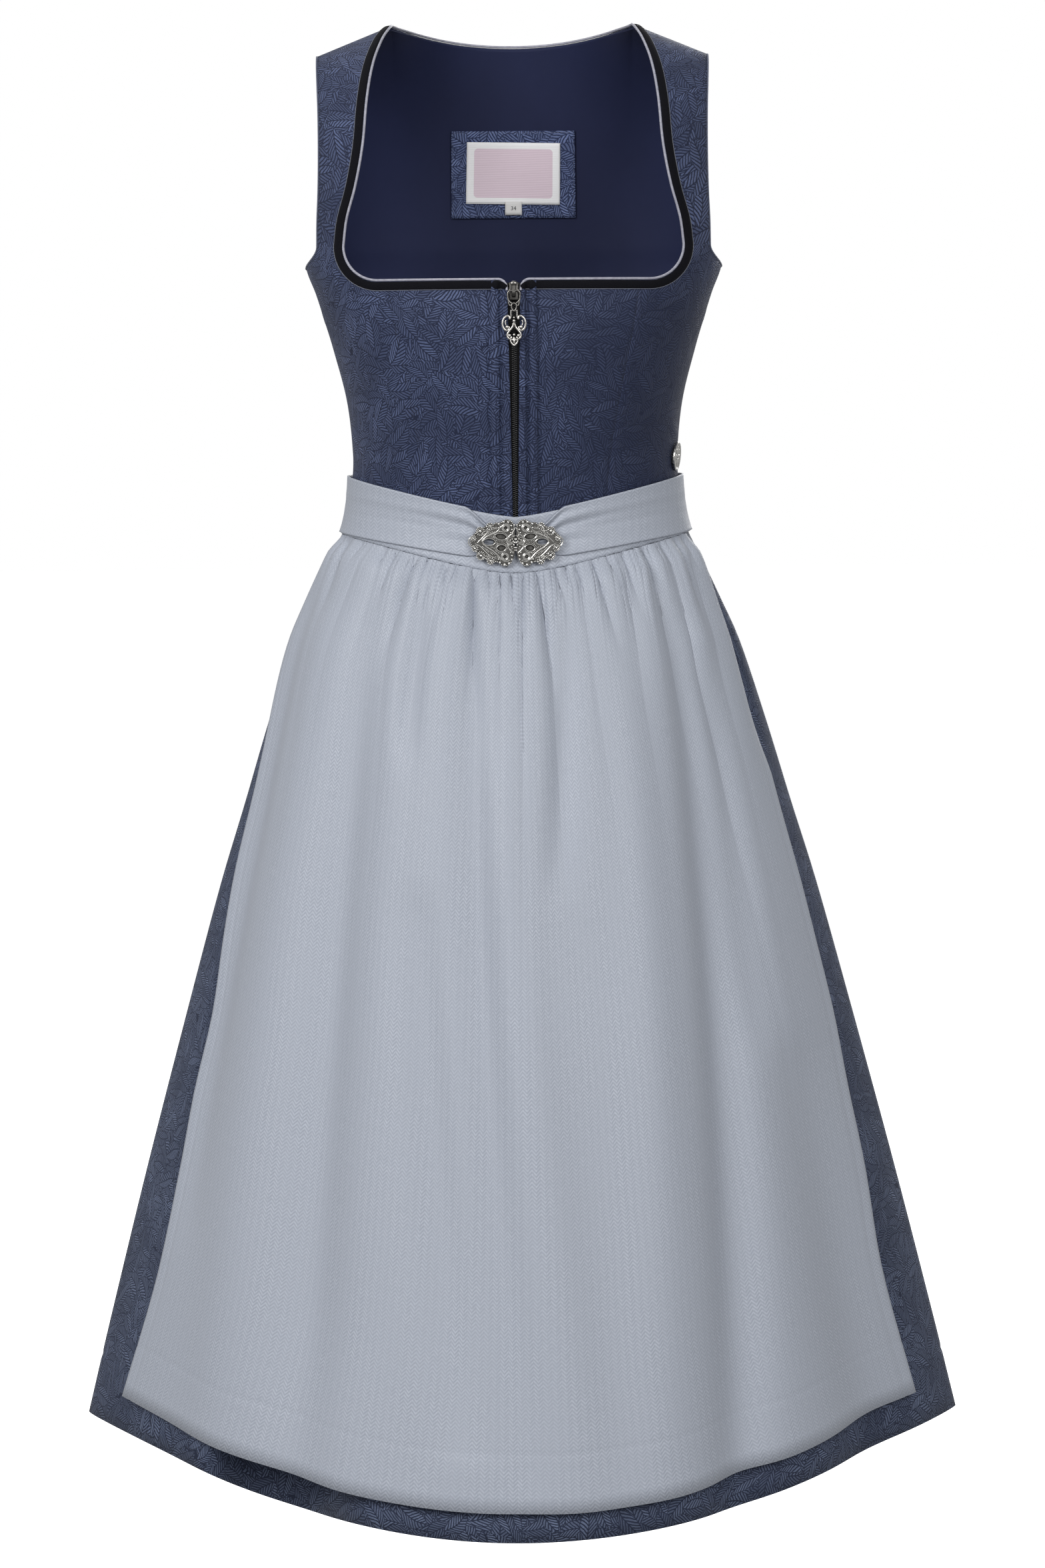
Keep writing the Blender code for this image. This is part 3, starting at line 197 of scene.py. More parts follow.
def front_dip(share):
    """1 at the centre front and 0 at the side."""
    return 1.0 - math.sin(0.5 * math.pi * min(abs(share), 1.0)) ** DIP_POWER


def waist_z(share, side):
    """Height of the waist seam: level at the back, dipping to a soft point at the centre front."""
    return WAIST_Z - (WAIST_DIP * front_dip(share) if side == FRONT else 0.0)


def hem_z(share, side):
    """Height of the skirt's hem."""
    dip = HEM_DIP if side == FRONT else 0.35 * HEM_DIP
    return HEM_Z - dip * (1.0 - math.sin(0.5 * math.pi * min(abs(share), 1.0)) ** HEM_POWER)


def level_of(share, z, side):
    """Level of the section that a height belongs to, which follows the dips of waist and hem."""
    waist = waist_z(share, side)
    if z >= FITTED_TO_Z:
        level = z
    elif z >= waist:
        level = WAIST_Z + (z - waist) * (FITTED_TO_Z - WAIST_Z) / (FITTED_TO_Z - waist)
    else:
        level = WAIST_Z + (z - waist) * (HEM_Z - WAIST_Z) / (hem_z(share, side) - waist)
    return round(level, 5)


def form_point(share, z, side):
    """Point on the garment's outer face below the straps, and where it lies on the flat cloth."""
    x, y, shares, length = plan_curve(level_of(share, z, side), side)
    place = min(abs(share), 1.0)
    out_x = math.copysign(float(np.interp(place, shares, x)), share)
    return Vector((out_x, side * float(np.interp(place, shares, y)), z)), (share * length, z)


def share_at(x, z, side):
    """Share of the half girth at which the garment is x wide."""
    share = 0.0
    for _ in range(4):
        xs, _, shares, _ = plan_curve(level_of(share, z, side), side)
        share = float(np.interp(abs(x), xs, shares))
    return math.copysign(share, x)


def on_front(x, z):
    """Point on the front, x from the centre and at height z."""
    return form_point(share_at(x, z, FRONT), z, FRONT)


def base_depth(x, side):
    """Distance from the shoulder line to the chest or the back at the foot of the straps."""
    xs, ys, _, _ = plan_curve(STRAP_BASE_Z, side)
    return float(np.interp(abs(x), xs, ys))


def steps(*stops):
    """Values from the first stop to the last; each stop is a value and the number of steps to the next."""
    values = []
    for (low, count), (high, _) in zip(stops, stops[1:]):
        values += [mix(low, high, k / count) for k in range(count)]
    return values + [stops[-1][0]]


def armhole_scoop(share, count):
    """The armhole's lower edge, from the strap's outer edge round to the side seam."""
    angles = [0.5 * math.pi * k / count for k in range(1, count + 1)]
    drop = UNDERARM_Z - STRAP_BASE_Z
    return [(mix(share, 1.0, 1.0 - math.cos(a)), STRAP_BASE_Z + drop * math.sin(a)) for a in angles]


def panel(tops, lows, side, count):
    """Rows of places from the waist seam to the top of each column."""
    rows = []
    for k in range(count + 1):
        t = k / count
        row = []
        for (top_share, top_z), low_share in zip(tops, lows):
            share = mix(low_share, top_share, t)
            row.append(form_point(share, mix(waist_z(share, side), top_z, t), side))
        rows.append(row)
    return rows


def mirrored(rows):
    """The same rows on the other side of the garment, so that the cloth still faces outwards."""
    return [[(Vector((-p.x, p.y, p.z)), (-u, v)) for p, (u, v) in reversed(row)] for row in rows]


def on_hand(rows, hand):
    """Rows of the wearer's left side, or the same rows on the right."""
    return rows if hand == LEFT else mirrored(rows)


def zip_relief(x):
    """How far the lip and the boning channel beside the zip stand out."""
    return float(np.interp(abs(x), [row.x for row in ZIP_RELIEF], [row.lift for row in ZIP_RELIEF]))


def crease_relief(creases, share, z):
    """How far soft creases move the cloth out."""
    out = 0.0
    for crease in creases:
        along = (abs(share) - crease.share) / crease.run
        if 0.0 < along < 1.0:
            away = (z - crease.z - crease.fall * along) / crease.width
            out += crease.depth * math.sin(math.pi * along) * math.exp(-away * away)
    return out


def seam_dip(distance):
    """How far the cloth is drawn in beside a seam."""
    return -SEAM_DRAW * math.exp(-((distance / SEAM_REACH) ** 2))


def lay_cloth(bm, rows):
    """Grid of cloth through rows of places."""
    across, up = len(rows[0]) - 1, len(rows) - 1
    made = bmesh.ops.create_grid(bm, x_segments=across, y_segments=up, size=1.0, calc_uvs=True)
    pattern = bm.loops.layers.uv["cloth"]
    for face in {face for vert in made["verts"] for face in vert.link_faces}:
        for loop in face.loops:
            i = round(loop[pattern].uv.x * across)
            j = round(loop[pattern].uv.y * up)
            loop.vert.co = rows[j][i][0]
            loop[pattern].uv = rows[j][i][1]


def raise_cloth(bm, lift):
    """Join the laid parts and move the cloth out by lift, which may differ from place to place."""
    bmesh.ops.remove_doubles(bm, verts=bm.verts, dist=WELD)
    bm.normal_update()
    pattern = bm.loops.layers.uv["cloth"]
    for vert, out in [(vert, vert.normal.copy()) for vert in bm.verts]:
        vert.co += out * (lift(vert.co, *vert.link_loops[0][pattern].uv) if callable(lift) else lift)


def sew(name, bm, thickness, outer, inner=None):
    """Make a cloth piece of a laid mesh and give it its thickness inwards."""
    bmesh.ops.remove_doubles(bm, verts=bm.verts, dist=WELD)
    mesh = bpy.data.meshes.new(name)
    bm.to_mesh(mesh)
    bm.free()
    mesh.shade_smooth()
    mesh.materials.append(outer)
    piece = bpy.data.objects.new(name, mesh)
    bpy.context.collection.objects.link(piece)
    wall = piece.modifiers.new("cloth", "SOLIDIFY")
    wall.thickness = thickness
    wall.offset = -1.0
    if inner is not None:
        mesh.materials.append(inner)
        wall.material_offset = 1
        wall.material_offset_rim = 0
    return piece


def settle(piece, slot, *nodes, body="dress"):
    """The piece rides on a body and stands for these solids, which are hidden; the slot is not used."""
    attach(piece, body)
    if nodes:
        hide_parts(*nodes)


def cloth_piece(name, grids, lift, thickness, outer, inner, slot, node):
    """Lay grids of cloth, move them out and sew them: the piece and the area of its cloth."""
    bm = bmesh.new()
    bm.loops.layers.uv.new("cloth")
    for rows in grids:
        lay_cloth(bm, rows)
    raise_cloth(bm, lift)
    area = sum(face.calc_area() for face in bm.faces)
    piece = sew(name, bm, thickness, outer, inner)
    settle(piece, slot, node)
    return piece, area


class Finish:
    """Look of one cloth, cord or metal, built up step by step from shader nodes."""

    def __init__(self, name, colour, roughness, metallic=0.0, sheen=0.0, specular=0.5):
        self.material = bpy.data.materials.new(name)
        self.material.use_nodes = True
        self.tree = self.material.node_tree
        self.shader = self.tree.nodes["Principled BSDF"]
        values = {"Base Color": (*colour, 1.0), "Roughness": roughness, "Metallic": metallic,
                  "Sheen Weight": sheen, "Specular IOR Level": specular}
        for key, value in values.items():
            self.fix(key, value)

    def fix(self, key, value):
        """Give the shader one constant value."""
        self.shader.inputs[key].default_value = value

    def step(self, kind, inputs, out=0, **settings):
        """Add a node whose inputs are values or the outputs of other nodes."""
        node = self.tree.nodes.new("ShaderNode" + kind)
        for key, value in settings.items():
            setattr(node, key, value)
        for key, value in inputs.items():
            if isinstance(value, bpy.types.NodeSocket):
                self.tree.links.new(value, node.inputs[key])
            else:
                node.inputs[key].default_value = value
        return node.outputs[out]

    def maths(self, operation, *values):
        """Work out a number."""
        return self.step("Math", dict(enumerate(values)), operation=operation)

    def times(self, a, b):
        """Product of two numbers."""
        return self.maths("MULTIPLY", a, b)

    def plus(self, a, b):
        """Sum of two numbers."""
        return self.maths("ADD", a, b)

    def minus(self, a, b):
        """Difference of two numbers."""
        return self.maths("SUBTRACT", a, b)

    def vector(self, operation, *values):
        """Work out a vector."""
        return self.step("VectorMath", dict(enumerate(values)), operation=operation)

    def ramp(self, value, low, high, to_low=0.0, to_high=1.0):
        """Rise softly from to_low to to_high while the value goes from low to high."""
        ends = {"Value": value, "From Min": low, "From Max": high, "To Min": to_low, "To Max": to_high}
        return self.step("MapRange", ends, interpolation_type="SMOOTHSTEP")

    def tint(self, share, low, high):
        """Colour between two others."""
        return self.step("Mix", {0: share, 6: low, 7: high}, out=2, data_type="RGBA")

    def noise(self, place, scale, detail=2.0):
        """Cloudy value about 0.5."""
        return self.step("TexNoise", {"Vector": place, "Scale": scale, "Detail": detail})

    def parts(self, value):
        """The three numbers of a vector."""
        return self.step("SeparateXYZ", {0: value}).node.outputs

    def on_cloth(self):
        """Place on the flat cloth, in metres."""
        return self.step("UVMap", {}, uv_map="cloth")

    def on_piece(self):
        """Place on the piece, in metres."""
        return self.step("TexCoord", {}, out="Object")

    def use(self, **sources):
        """Lead values to the shader."""
        names = {"colour": "Base Color", "roughness": "Roughness", "normal": "Normal"}
        for key, source in sources.items():
            self.tree.links.new(source, self.shader.inputs[names[key]])

    def relief(self, height, distance, strength=1.0):
        """Small relief that the mesh doesn't hold."""
        heights = {"Height": height, "Distance": distance, "Strength": strength}
        self.use(normal=self.step("Bump", heights))


LEAF_SPACING = 0.0190
LEAF_HALF_LENGTH, LEAF_HALF_WIDTH = 0.66, 0.34
VEIN_PITCH = 0.142
VEIN_SLANT = 1.15
LEAF_BEND = 0.30
LEAF_GROUND = (0.0120, 0.0170, 0.0430)
LEAF_STROKE = (0.1170, 0.1520, 0.2850)
LEAF_SHEEN = 0.05
MIDRIB = 0.030
LEAF_LAYERS = [((23.8, 44.6, 0.0), 1.9), ((52.4, 61.3, 0.0), 1.1), ((31.7, 8.2, 0.0), 1.0),
               ((4.3, 17.9, 0.0), 1.0), ((0.0, 0.0, 0.0), 1.0)]
# The second value is how bright the print's strokes stay under the painted shade on the front.
LEAF_PLAIN, LEAF_PAINTED_SHADE = (1.0, 1.0, 1.0), 0.30


def leaf_layer(finish, place, shift, size):
    """One layer of scattered leaves: where a leaf lies, and how light its vein strokes are."""
    moved = finish.vector("ADD", place, shift)
    cell = finish.step("TexVoronoi", {"Vector": moved, "Scale": 1.0, "Randomness": 0.9},
                       out="Position", voronoi_dimensions="2D")
    tone = finish.parts(cell.node.outputs["Color"])
    away = finish.vector("SUBTRACT", moved, cell)
    turn = finish.times(tone[0], 2.0 * math.pi)
    turned = finish.step("VectorRotate", {"Vector": away, "Angle": turn}, rotation_type="Z_AXIS")
    x, y, _ = finish.parts(turned)
    bend = finish.times(finish.times(x, x), LEAF_BEND)
    across = finish.minus(y, bend)
    side = finish.maths("ABSOLUTE", across)
    along = finish.maths("DIVIDE", x, size * LEAF_HALF_LENGTH)
    narrowing = finish.minus(1.0, finish.times(along, along))
    room = finish.minus(finish.times(narrowing, size * LEAF_HALF_WIDTH), side)
    uneven = finish.noise(place, 5.5, 2.0)
    room = finish.plus(room, finish.times(finish.minus(uneven, 0.5), 0.09))
    inside = finish.ramp(room, 0.0, 0.02)
    within = finish.ramp(room, 0.02, 0.055)
    slant = finish.times(side, VEIN_SLANT)
    phase = finish.times(finish.minus(x, slant), 2.0 * math.pi / VEIN_PITCH)
    phase = finish.plus(phase, finish.times(uneven, 3.2))
    stroke = finish.ramp(finish.maths("SINE", phase), -0.75, 0.15)
    rib = finish.ramp(side, 0.2 * MIDRIB, MIDRIB)
    # One half of each leaf is lighter than the other: painted sheen, as if the light caught that half.
    halves = finish.ramp(across, -0.01, 0.01, 0.76, 1.0)
    bright = finish.times(finish.ramp(tone[1], 0.0, 1.0, 0.66, 1.0), halves)
    light = finish.times(finish.times(stroke, rib), finish.times(within, bright))
    return inside, light


def make_leaf_cotton(name, shade, turned=1.0):
    """Slate-blue cotton with layers of feathered leaves, tone on tone, a little raised.

    Where turned is below 1, the satin strokes are darkened below the chest towards the wearer's left: painted
    shade, where the cloth is turned away from the light.
    """
    ground = [part * value for part, value in zip(shade, LEAF_GROUND)]
    stroke = [part * value for part, value in zip(shade, LEAF_STROKE)]
    finish = Finish(name, ground, 0.62, sheen=LEAF_SHEEN, specular=0.2)
    place = finish.step("VectorMath", {0: finish.on_cloth(), 3: 1.0 / LEAF_SPACING}, operation="SCALE")
    sway = finish.step("TexNoise", {"Vector": place, "Scale": 0.6, "Detail": 1.0}, out="Color")
    place = finish.vector("ADD", place, finish.vector("MULTIPLY", sway, (0.5, 0.5, 0.0)))
    light = None
    for shift, size in LEAF_LAYERS:
        inside, strokes = leaf_layer(finish, place, shift, size)
        if light is None:
            light = strokes
        else:
            light = finish.step("Mix", {0: inside, 2: light, 3: strokes}, data_type="FLOAT")
    # Soft cloudy patches dim the strokes here and there: painted sheen, light caught in some places and not
    # others.
    worn = finish.ramp(finish.noise(finish.on_cloth(), 26.0, 3.0), 0.3, 0.7, 0.58, 1.0)
    satin = finish.ramp(finish.noise(finish.on_cloth(), 1100.0, 2.0), 0.3, 0.7, 0.60, 1.0)
    shown = finish.times(light, finish.times(worn, satin))
    # Painted shade: below the chest the strokes darken towards the wearer's left, as if that side were in
    # shadow.
    if turned < 1.0:
        spot = finish.parts(finish.on_piece())
        dull = finish.ramp(spot[0], -0.010, 0.095, 1.0, turned)
        dull = finish.maths("MAXIMUM", dull, finish.ramp(spot[2], -0.23, -0.16))
        shown = finish.times(shown, dull)
    finish.use(colour=finish.tint(shown, (*ground, 1.0), (*stroke, 1.0)),
               roughness=finish.ramp(light, 0.0, 1.0, 0.66, 0.50))
    threads = finish.noise(finish.on_cloth(), 2600.0, 1.0)
    finish.relief(finish.plus(light, finish.times(threads, 0.25)), 0.00035)
    return finish.material


def make_weave(name, colour, roughness, sheen, pitch=0.0006, cloudy=0.12):
    """Plain woven cloth: fine threads both ways and a slightly uneven colour."""
    finish = Finish(name, colour, roughness, sheen=sheen, specular=0.2)
    place = finish.on_cloth()
    u, v, _ = finish.parts(place)
    warp = finish.maths("SINE", finish.times(u, 2.0 * math.pi / pitch))
    weft = finish.maths("SINE", finish.times(v, 2.0 * math.pi / pitch))
    clouds = finish.noise(place, 30.0, 3.0)
    dark = tuple(value * (1.0 - cloudy) for value in colour)
    light = tuple(value * (1.0 + cloudy) for value in colour)
    finish.use(colour=finish.tint(clouds, (*dark, 1.0), (*light, 1.0)))
    finish.relief(finish.times(warp, weft), 0.00004)
    return finish.material


leaf_cotton = make_leaf_cotton("leaf_cotton", LEAF_PLAIN)
# The front panels' print carries painted shade towards the wearer's left.
front_cotton_painted_shade = make_leaf_cotton("front_cotton_painted_shade", LEAF_PLAIN, LEAF_PAINTED_SHADE)
# The skirt's copy of the print is lighter and greyer; its extra brightness is painted light on the skirt.
skirt_cotton_painted_light = make_leaf_cotton("skirt_cotton_painted_light", (1.46, 1.40, 1.16))
navy_lining = make_weave("navy_lining", (0.0110, 0.0155, 0.0520), 0.6, 0.04)


def strap_width(z, across):
    """Places across the front strap at one height, from its neck edge to its armhole edge."""
    neck_x = read_table(STRAP, "neck_x", z)
    return [mix(neck_x, read_table(STRAP, "armhole_x", z), share) for share in across]


def arch_height(x, side):
    """Height of the arch over the shoulder line; it rises towards the centre of the back."""
    outside = max(abs(x) - NECK_POINT_X, 0.0) / (SHOULDER_X - NECK_POINT_X)
    height = -SHOULDER_DROP * outside - STRAP_BASE_Z
    if side == BACK and abs(x) < NECK_POINT_X:
        height += BACK_NECK_RISE * (1.0 - (x / NECK_POINT_X) ** 2) ** 2
    return height


def arch_point(x, angle, side):
    """Point above the foot of the straps, on an arch over the shoulder line."""
    y = side * base_depth(x, side) * math.cos(angle)
    return Vector((x, y, STRAP_BASE_Z + arch_height(x, side) * math.sin(angle)))


def arch_place(x, angle, side, start=0.0):
    """Point on the arch, and where it lies on the flat cloth."""
    radius = 0.5 * (base_depth(x, side) + arch_height(x, side))
    return arch_point(x, angle, side), (start + x, STRAP_BASE_Z + radius * angle)


STRAP_ACROSS = [k / STRAP_COLUMNS for k in range(STRAP_COLUMNS + 1)]
CORNER_ANGLES = [0.5 * math.pi * k / CORNER_COLUMNS for k in range(CORNER_COLUMNS + 1)]
STRAP_ANGLES = [0.5 * math.pi * k / STRAP_ROWS for k in range(STRAP_ROWS + 1)]


def neck_corner(angle, extra=0.0):
    """Place on the rounded corner of the neck edge, or further out by extra."""
    reach = CORNER_RADIUS + extra
    x = NECK_SIDE_X - CORNER_RADIUS + reach * math.sin(angle)
    return on_front(x, NECK_EDGE_Z + CORNER_RADIUS - reach * math.cos(angle))


def share_on_front(place):
    """Share and height of a place on the front."""
    return share_at(place[0].x, place[0].z, FRONT), place[0].z


def neck_edge_z(x):
    """Height of the front neck edge, which is rounded off a little at the zip."""
    return NECK_EDGE_Z - NECK_ROUND_DROP * (1.0 - soft_step((abs(x) - LIP_TOP_X) / NECK_ROUND_WIDTH))


def centre_rows():
    """Centre panel on the wearer's left, from the zip to the princess seam."""
    top_x = steps((LIP_TOP_X, 34), (CHANNEL_END_X, 26), (PRINCESS_TOP_X - 0.006, 8), (PRINCESS_TOP_X, 0))
    tops = [(share_at(x, neck_edge_z(x), FRONT), neck_edge_z(x)) for x in top_x]
    lows = []
    for x in top_x:
        lip = (CHANNEL_END_X - x) / (CHANNEL_END_X - LIP_TOP_X)
        low_x = CHANNEL_END_X - lip * (CHANNEL_END_X - LIP_WAIST_X)
        if x > CHANNEL_END_X:
            beyond = (x - CHANNEL_END_X) / (PRINCESS_TOP_X - CHANNEL_END_X)
            low_x = mix(CHANNEL_END_X, PRINCESS_WAIST_X, beyond)
        lows.append(share_at(low_x, WAIST_Z - WAIST_DIP, FRONT))
    return panel(tops, lows, FRONT, CENTRE_ROWS)


def side_rows(first_low):
    """Side panel on the wearer's left, from the princess seam to the side seam."""
    tops = [(share_at(PRINCESS_TOP_X, NECK_EDGE_Z, FRONT), NECK_EDGE_Z)]
    straight = steps((PRINCESS_TOP_X, 3), (NECK_SIDE_X - CORNER_RADIUS, 0))[1:]
    tops += [(share_at(x, NECK_EDGE_Z, FRONT), NECK_EDGE_Z) for x in straight]
    tops += [share_on_front(neck_corner(angle)) for angle in CORNER_ANGLES[1:]]
    foot = [mix(NECK_SIDE_X, ARMHOLE_X, s) for s in STRAP_ACROSS[1:]]
    tops += [(share_at(x, STRAP_BASE_Z, FRONT), STRAP_BASE_Z) for x in foot]
    tops += armhole_scoop(tops[-1][0], FRONT_SCOOP)
    lows = [mix(first_low, 1.0, (k / (len(tops) - 1)) ** 0.9) for k in range(len(tops))]
    return panel(tops, lows, FRONT, SIDE_ROWS)


def strap_rows():
    """Front strap on the wearer's left, from its foot to the shoulder seam."""
    girth = plan_curve(round(STRAP_BASE_Z, 5), FRONT)[3]
    start = girth * share_at(NECK_SIDE_X, STRAP_BASE_Z, FRONT) - NECK_SIDE_X
    rows = []
    for angle in STRAP_ANGLES:
        z = STRAP_BASE_Z * (1.0 - math.sin(angle))
        rows.append([arch_place(x, angle, FRONT, start) for x in strap_width(z, STRAP_ACROSS)])
    return rows


centre_panel = centre_rows()
side_panel = side_rows(share_at(PRINCESS_WAIST_X, WAIST_Z - WAIST_DIP, FRONT))
strap = strap_rows()
princess_seam = [row[-1][0] for row in centre_panel]


def front_lift(point, u, v):
    """Relief of a front panel: lip and channels, soft creases, and the cloth drawn in at its seam."""
    if point.z >= STRAP_BASE_Z:
        return 0.0
    share = abs(share_at(point.x, point.z, FRONT))
    seam = float(np.interp(point.z, [p.z for p in princess_seam], [p.x for p in princess_seam]))
    relief = zip_relief(point.x) + crease_relief(BODICE_CREASES, share, point.z)
    return relief + seam_dip(abs(point.x) - seam)


for hand, word in HANDS:
    for part, grids, flat in (("centre", [centre_panel], CENTRE_FLAT),
                              ("side", [side_panel, strap], SIDE_FLAT)):
        piece, area = cloth_piece(f"{part}_panel_{word}", [on_hand(rows, hand) for rows in grids], front_lift,
                                  COTTON, front_cotton_painted_shade, navy_lining, "leaf_cotton", f"bodice_{part}_{word}")


# Back of the bodice
# One piece of the same cotton from side seam to side seam, cut high at the neck, with both armholes. Its
# lining is plain navy cloth, which shows through the neck.

BACK_ARMHOLE_X, BACK_NECK_DROP, ARMHOLE_BOW = 0.1400, 0.0115, 0.0045
NECK_COLUMNS, SHOULDER_COLUMNS, SCOOP_COLUMNS = 36, 10, 14
NECK_CROWDING, ARCH_ROWS, BACK_ROWS = 2.3, 56, 60
NECK_SHARE, ARMHOLE_SHARE = 7.0 / 9.0, 9.0 / 13.0
BOW_START, BOW_RUN = 0.7, 0.3
LINING_LIFT, LINING_CLOTH = -0.0017, 0.0010
BACK_CREASES = table(Crease, [
    (0.10, -0.318, 0.42, 0.010, 0.0009, 0.0050),
    (0.05, -0.332, 0.50, 0.004, -0.0006, 0.0040),
    (0.52, -0.300, 0.40, 0.016, 0.0008, 0.0050),
    (0.70, -0.200, 0.28, 0.022, 0.0007, 0.0060),
    (0.20, -0.286, 0.30, -0.006, 0.0006, 0.0060),
])


def back_neck_angle(x):
    """Angle on the arch at which the back ends at the neck."""
    if abs(x) >= NECK_POINT_X:
        return 0.5 * math.pi
    edge = -BACK_NECK_DROP * (1.0 - (x / NECK_POINT_X) ** 2)
    return math.asin(min((edge - STRAP_BASE_Z) / arch_height(x, BACK), 1.0))


def back_halves():
    """Left half of the back: rows below the foot of the straps and rows above it."""
    neck = [k / NECK_COLUMNS for k in range(NECK_COLUMNS + 1)]
    targets = []
    for q in neck:
        x = NECK_POINT_X * (1.0 - (1.0 - q) ** NECK_CROWDING)
        targets.append((NECK_SHARE * q, x, back_neck_angle(x)))
    for k in range(1, SHOULDER_COLUMNS + 1):
        q = k / SHOULDER_COLUMNS
        targets.append((mix(NECK_SHARE, 1.0, q), mix(NECK_POINT_X, SHOULDER_X, q), 0.5 * math.pi))
    upper = []
    for k in range(ARCH_ROWS + 1):
        t = k / ARCH_ROWS
        row = []
        for share, target_x, target_angle in targets:
            bow = ARMHOLE_BOW * max(share - BOW_START, 0.0) / BOW_RUN * math.sin(math.pi * t)
            x = mix(BACK_ARMHOLE_X * share, target_x, t) - bow
            row.append(arch_place(x, target_angle * t, BACK))
        upper.append(row)
    tops = [(share_at(BACK_ARMHOLE_X * share, STRAP_BASE_Z, BACK), STRAP_BASE_Z) for share, _, _ in targets]
    lows = [ARMHOLE_SHARE * share for share, _, _ in targets]
    tops += armhole_scoop(tops[-1][0], SCOOP_COLUMNS)
    lows += [mix(ARMHOLE_SHARE, 1.0, k / SCOOP_COLUMNS) for k in range(1, SCOOP_COLUMNS + 1)]
    return panel(tops, lows, BACK, BACK_ROWS), upper


def whole(rows):
    """Rows right across the back, from the wearer's left to the right."""
    return [list(reversed(row)) + list(reversed(other))[1:] for row, other in zip(rows, mirrored(rows))]


back_low, back_high = back_halves()
whole_back = [whole(back_low), whole(back_high)]


def back_crease(point):
    """Soft creases above the back waist and under the armholes."""
    if point.z >= STRAP_BASE_Z:
        return 0.0
    return crease_relief(BACK_CREASES, share_at(point.x, point.z, BACK), point.z)


for name, lift, thickness, finish, slot, node in (
        ("back_panel", 0.0, COTTON, leaf_cotton, "leaf_cotton", "bodice_back"),
        ("back_lining_cloth", LINING_LIFT, LINING_CLOTH, navy_lining, "navy_lining", "back_lining")):
    piece, area = cloth_piece(name, whole_back, lambda point, u, v: lift + back_crease(point), thickness,
                              finish, navy_lining, slot, node)


# Velvet band and piping
# A black velvet ribbon runs round the whole neck edge, with a fine grey thread along its outer edge. A
# silver-grey satin cord is sewn in at the very edge, and turns down beside the zip.

VELVET_WIDTH, VELVET_PILE = 0.0060, 0.0010
VELVET_PROFILE = [0.0005, 0.0010, 0.0013, 0.0014, 0.0013, 0.0011, 0.0007]
VELVET_AROUND_BACK, VELVET_FLAT = 48, (0.010, 1.14)
PIPING_RADIUS, PIPING_GAP, PIPING_START_X, PIPING_OUT = 0.0009, 0.00034, 0.0068, 0.0016
PIPING_END = [(0.0049, -0.0068), (0.0050, -0.0048), (0.0053, -0.0028)]
THREAD_RADIUS, THREAD_LIFT = 0.00022, 0.0005


def velvet_offset(x, angle):
    """Place on the back one ribbon's width away from the neck edge, as x and an angle on the arch."""
    step = 0.0005
    lower, upper = max(x - step, 0.0), min(x + step, NECK_POINT_X)
    run = upper - lower
    metric = math.hypot(base_depth(x, BACK) * math.sin(angle), arch_height(x, BACK) * math.cos(angle))
    rise = (back_neck_angle(upper) - back_neck_angle(lower)) * metric
    size = math.hypot(run, rise)
    if x >= NECK_POINT_X:
        return x + VELVET_WIDTH, angle
    return x + VELVET_WIDTH * rise / size, angle - VELVET_WIDTH * run / size / metric


def neck_path():
    """Neck edge and the ribbon's outer edge, from the zip over the left shoulder to the centre back."""
    front_x = steps((LIP_TOP_X, 10), (0.0130, 20), (NECK_SIDE_X - CORNER_RADIUS, 0))
    pairs = [(on_front(x, neck_edge_z(x))[0], on_front(x, NECK_EDGE_Z - VELVET_WIDTH)[0]) for x in front_x]
    pairs += [(neck_corner(angle)[0], neck_corner(angle, VELVET_WIDTH)[0]) for angle in CORNER_ANGLES[1:]]
    for angle in STRAP_ANGLES[1:]:
        neck_x = read_table(STRAP, "neck_x", STRAP_BASE_Z * (1.0 - math.sin(angle)))
        pairs.append((arch_point(neck_x, angle, FRONT), arch_point(neck_x + VELVET_WIDTH, angle, FRONT)))
    for k in range(1, VELVET_AROUND_BACK + 1):
        x = NECK_POINT_X * (1.0 - (k / VELVET_AROUND_BACK) ** NECK_CROWDING)
        angle = back_neck_angle(x)
        pairs.append((arch_point(x, angle, BACK), arch_point(*velvet_offset(x, angle), BACK)))
    return pairs


def across_ribbon(pairs):
    """Rows of places on the ribbon, from its outer edge to the neck edge."""
    lengths = [0.0]
    for (a, _), (b, _) in zip(pairs, pairs[1:]):
        lengths.append(lengths[-1] + (b - a).length)
    rows = []
    for k in range(len(VELVET_PROFILE)):
        share = k / (len(VELVET_PROFILE) - 1)
        rows.append([(inner.lerp(edge, share), (u - lengths[-1], share * VELVET_WIDTH))
                     for (edge, inner), u in zip(pairs, lengths)])
    return rows


def mirror_path(points):
    """A path and its mirror image, joined where it meets the centre."""
    return points + [Vector((-p.x, p.y, p.z)) for p in reversed(points[:-1])]


def new_wire(radius, rounds, kind):
    """Empty round wire with closed ends: its curve and its line."""
    curve = bpy.data.curves.new("wire", "CURVE")
    curve.dimensions = "3D"
    curve.bevel_depth = radius
    curve.bevel_resolution = rounds
    curve.use_fill_caps = True
    return curve, curve.splines.new(kind)


def add_curve(bm, curve):
    """Add the surface of a curve."""
    holder = bpy.data.objects.new("curve", curve)
    bpy.context.collection.objects.link(holder)
    mesh = bpy.data.meshes.new_from_object(holder.evaluated_get(bpy.context.evaluated_depsgraph_get()))
    bpy.data.objects.remove(holder, do_unlink=True)
    bm.from_mesh(mesh)
    bpy.data.meshes.remove(mesh)


def add_cord(bm, path, radius, rounds=2):
    """Round cord along a list of close points."""
    curve, line = new_wire(radius, rounds, "POLY")
    line.points.add(len(path) - 1)
    for knot, point in zip(line.points, path):
        knot.co = (*point, 1.0)
    add_curve(bm, curve)


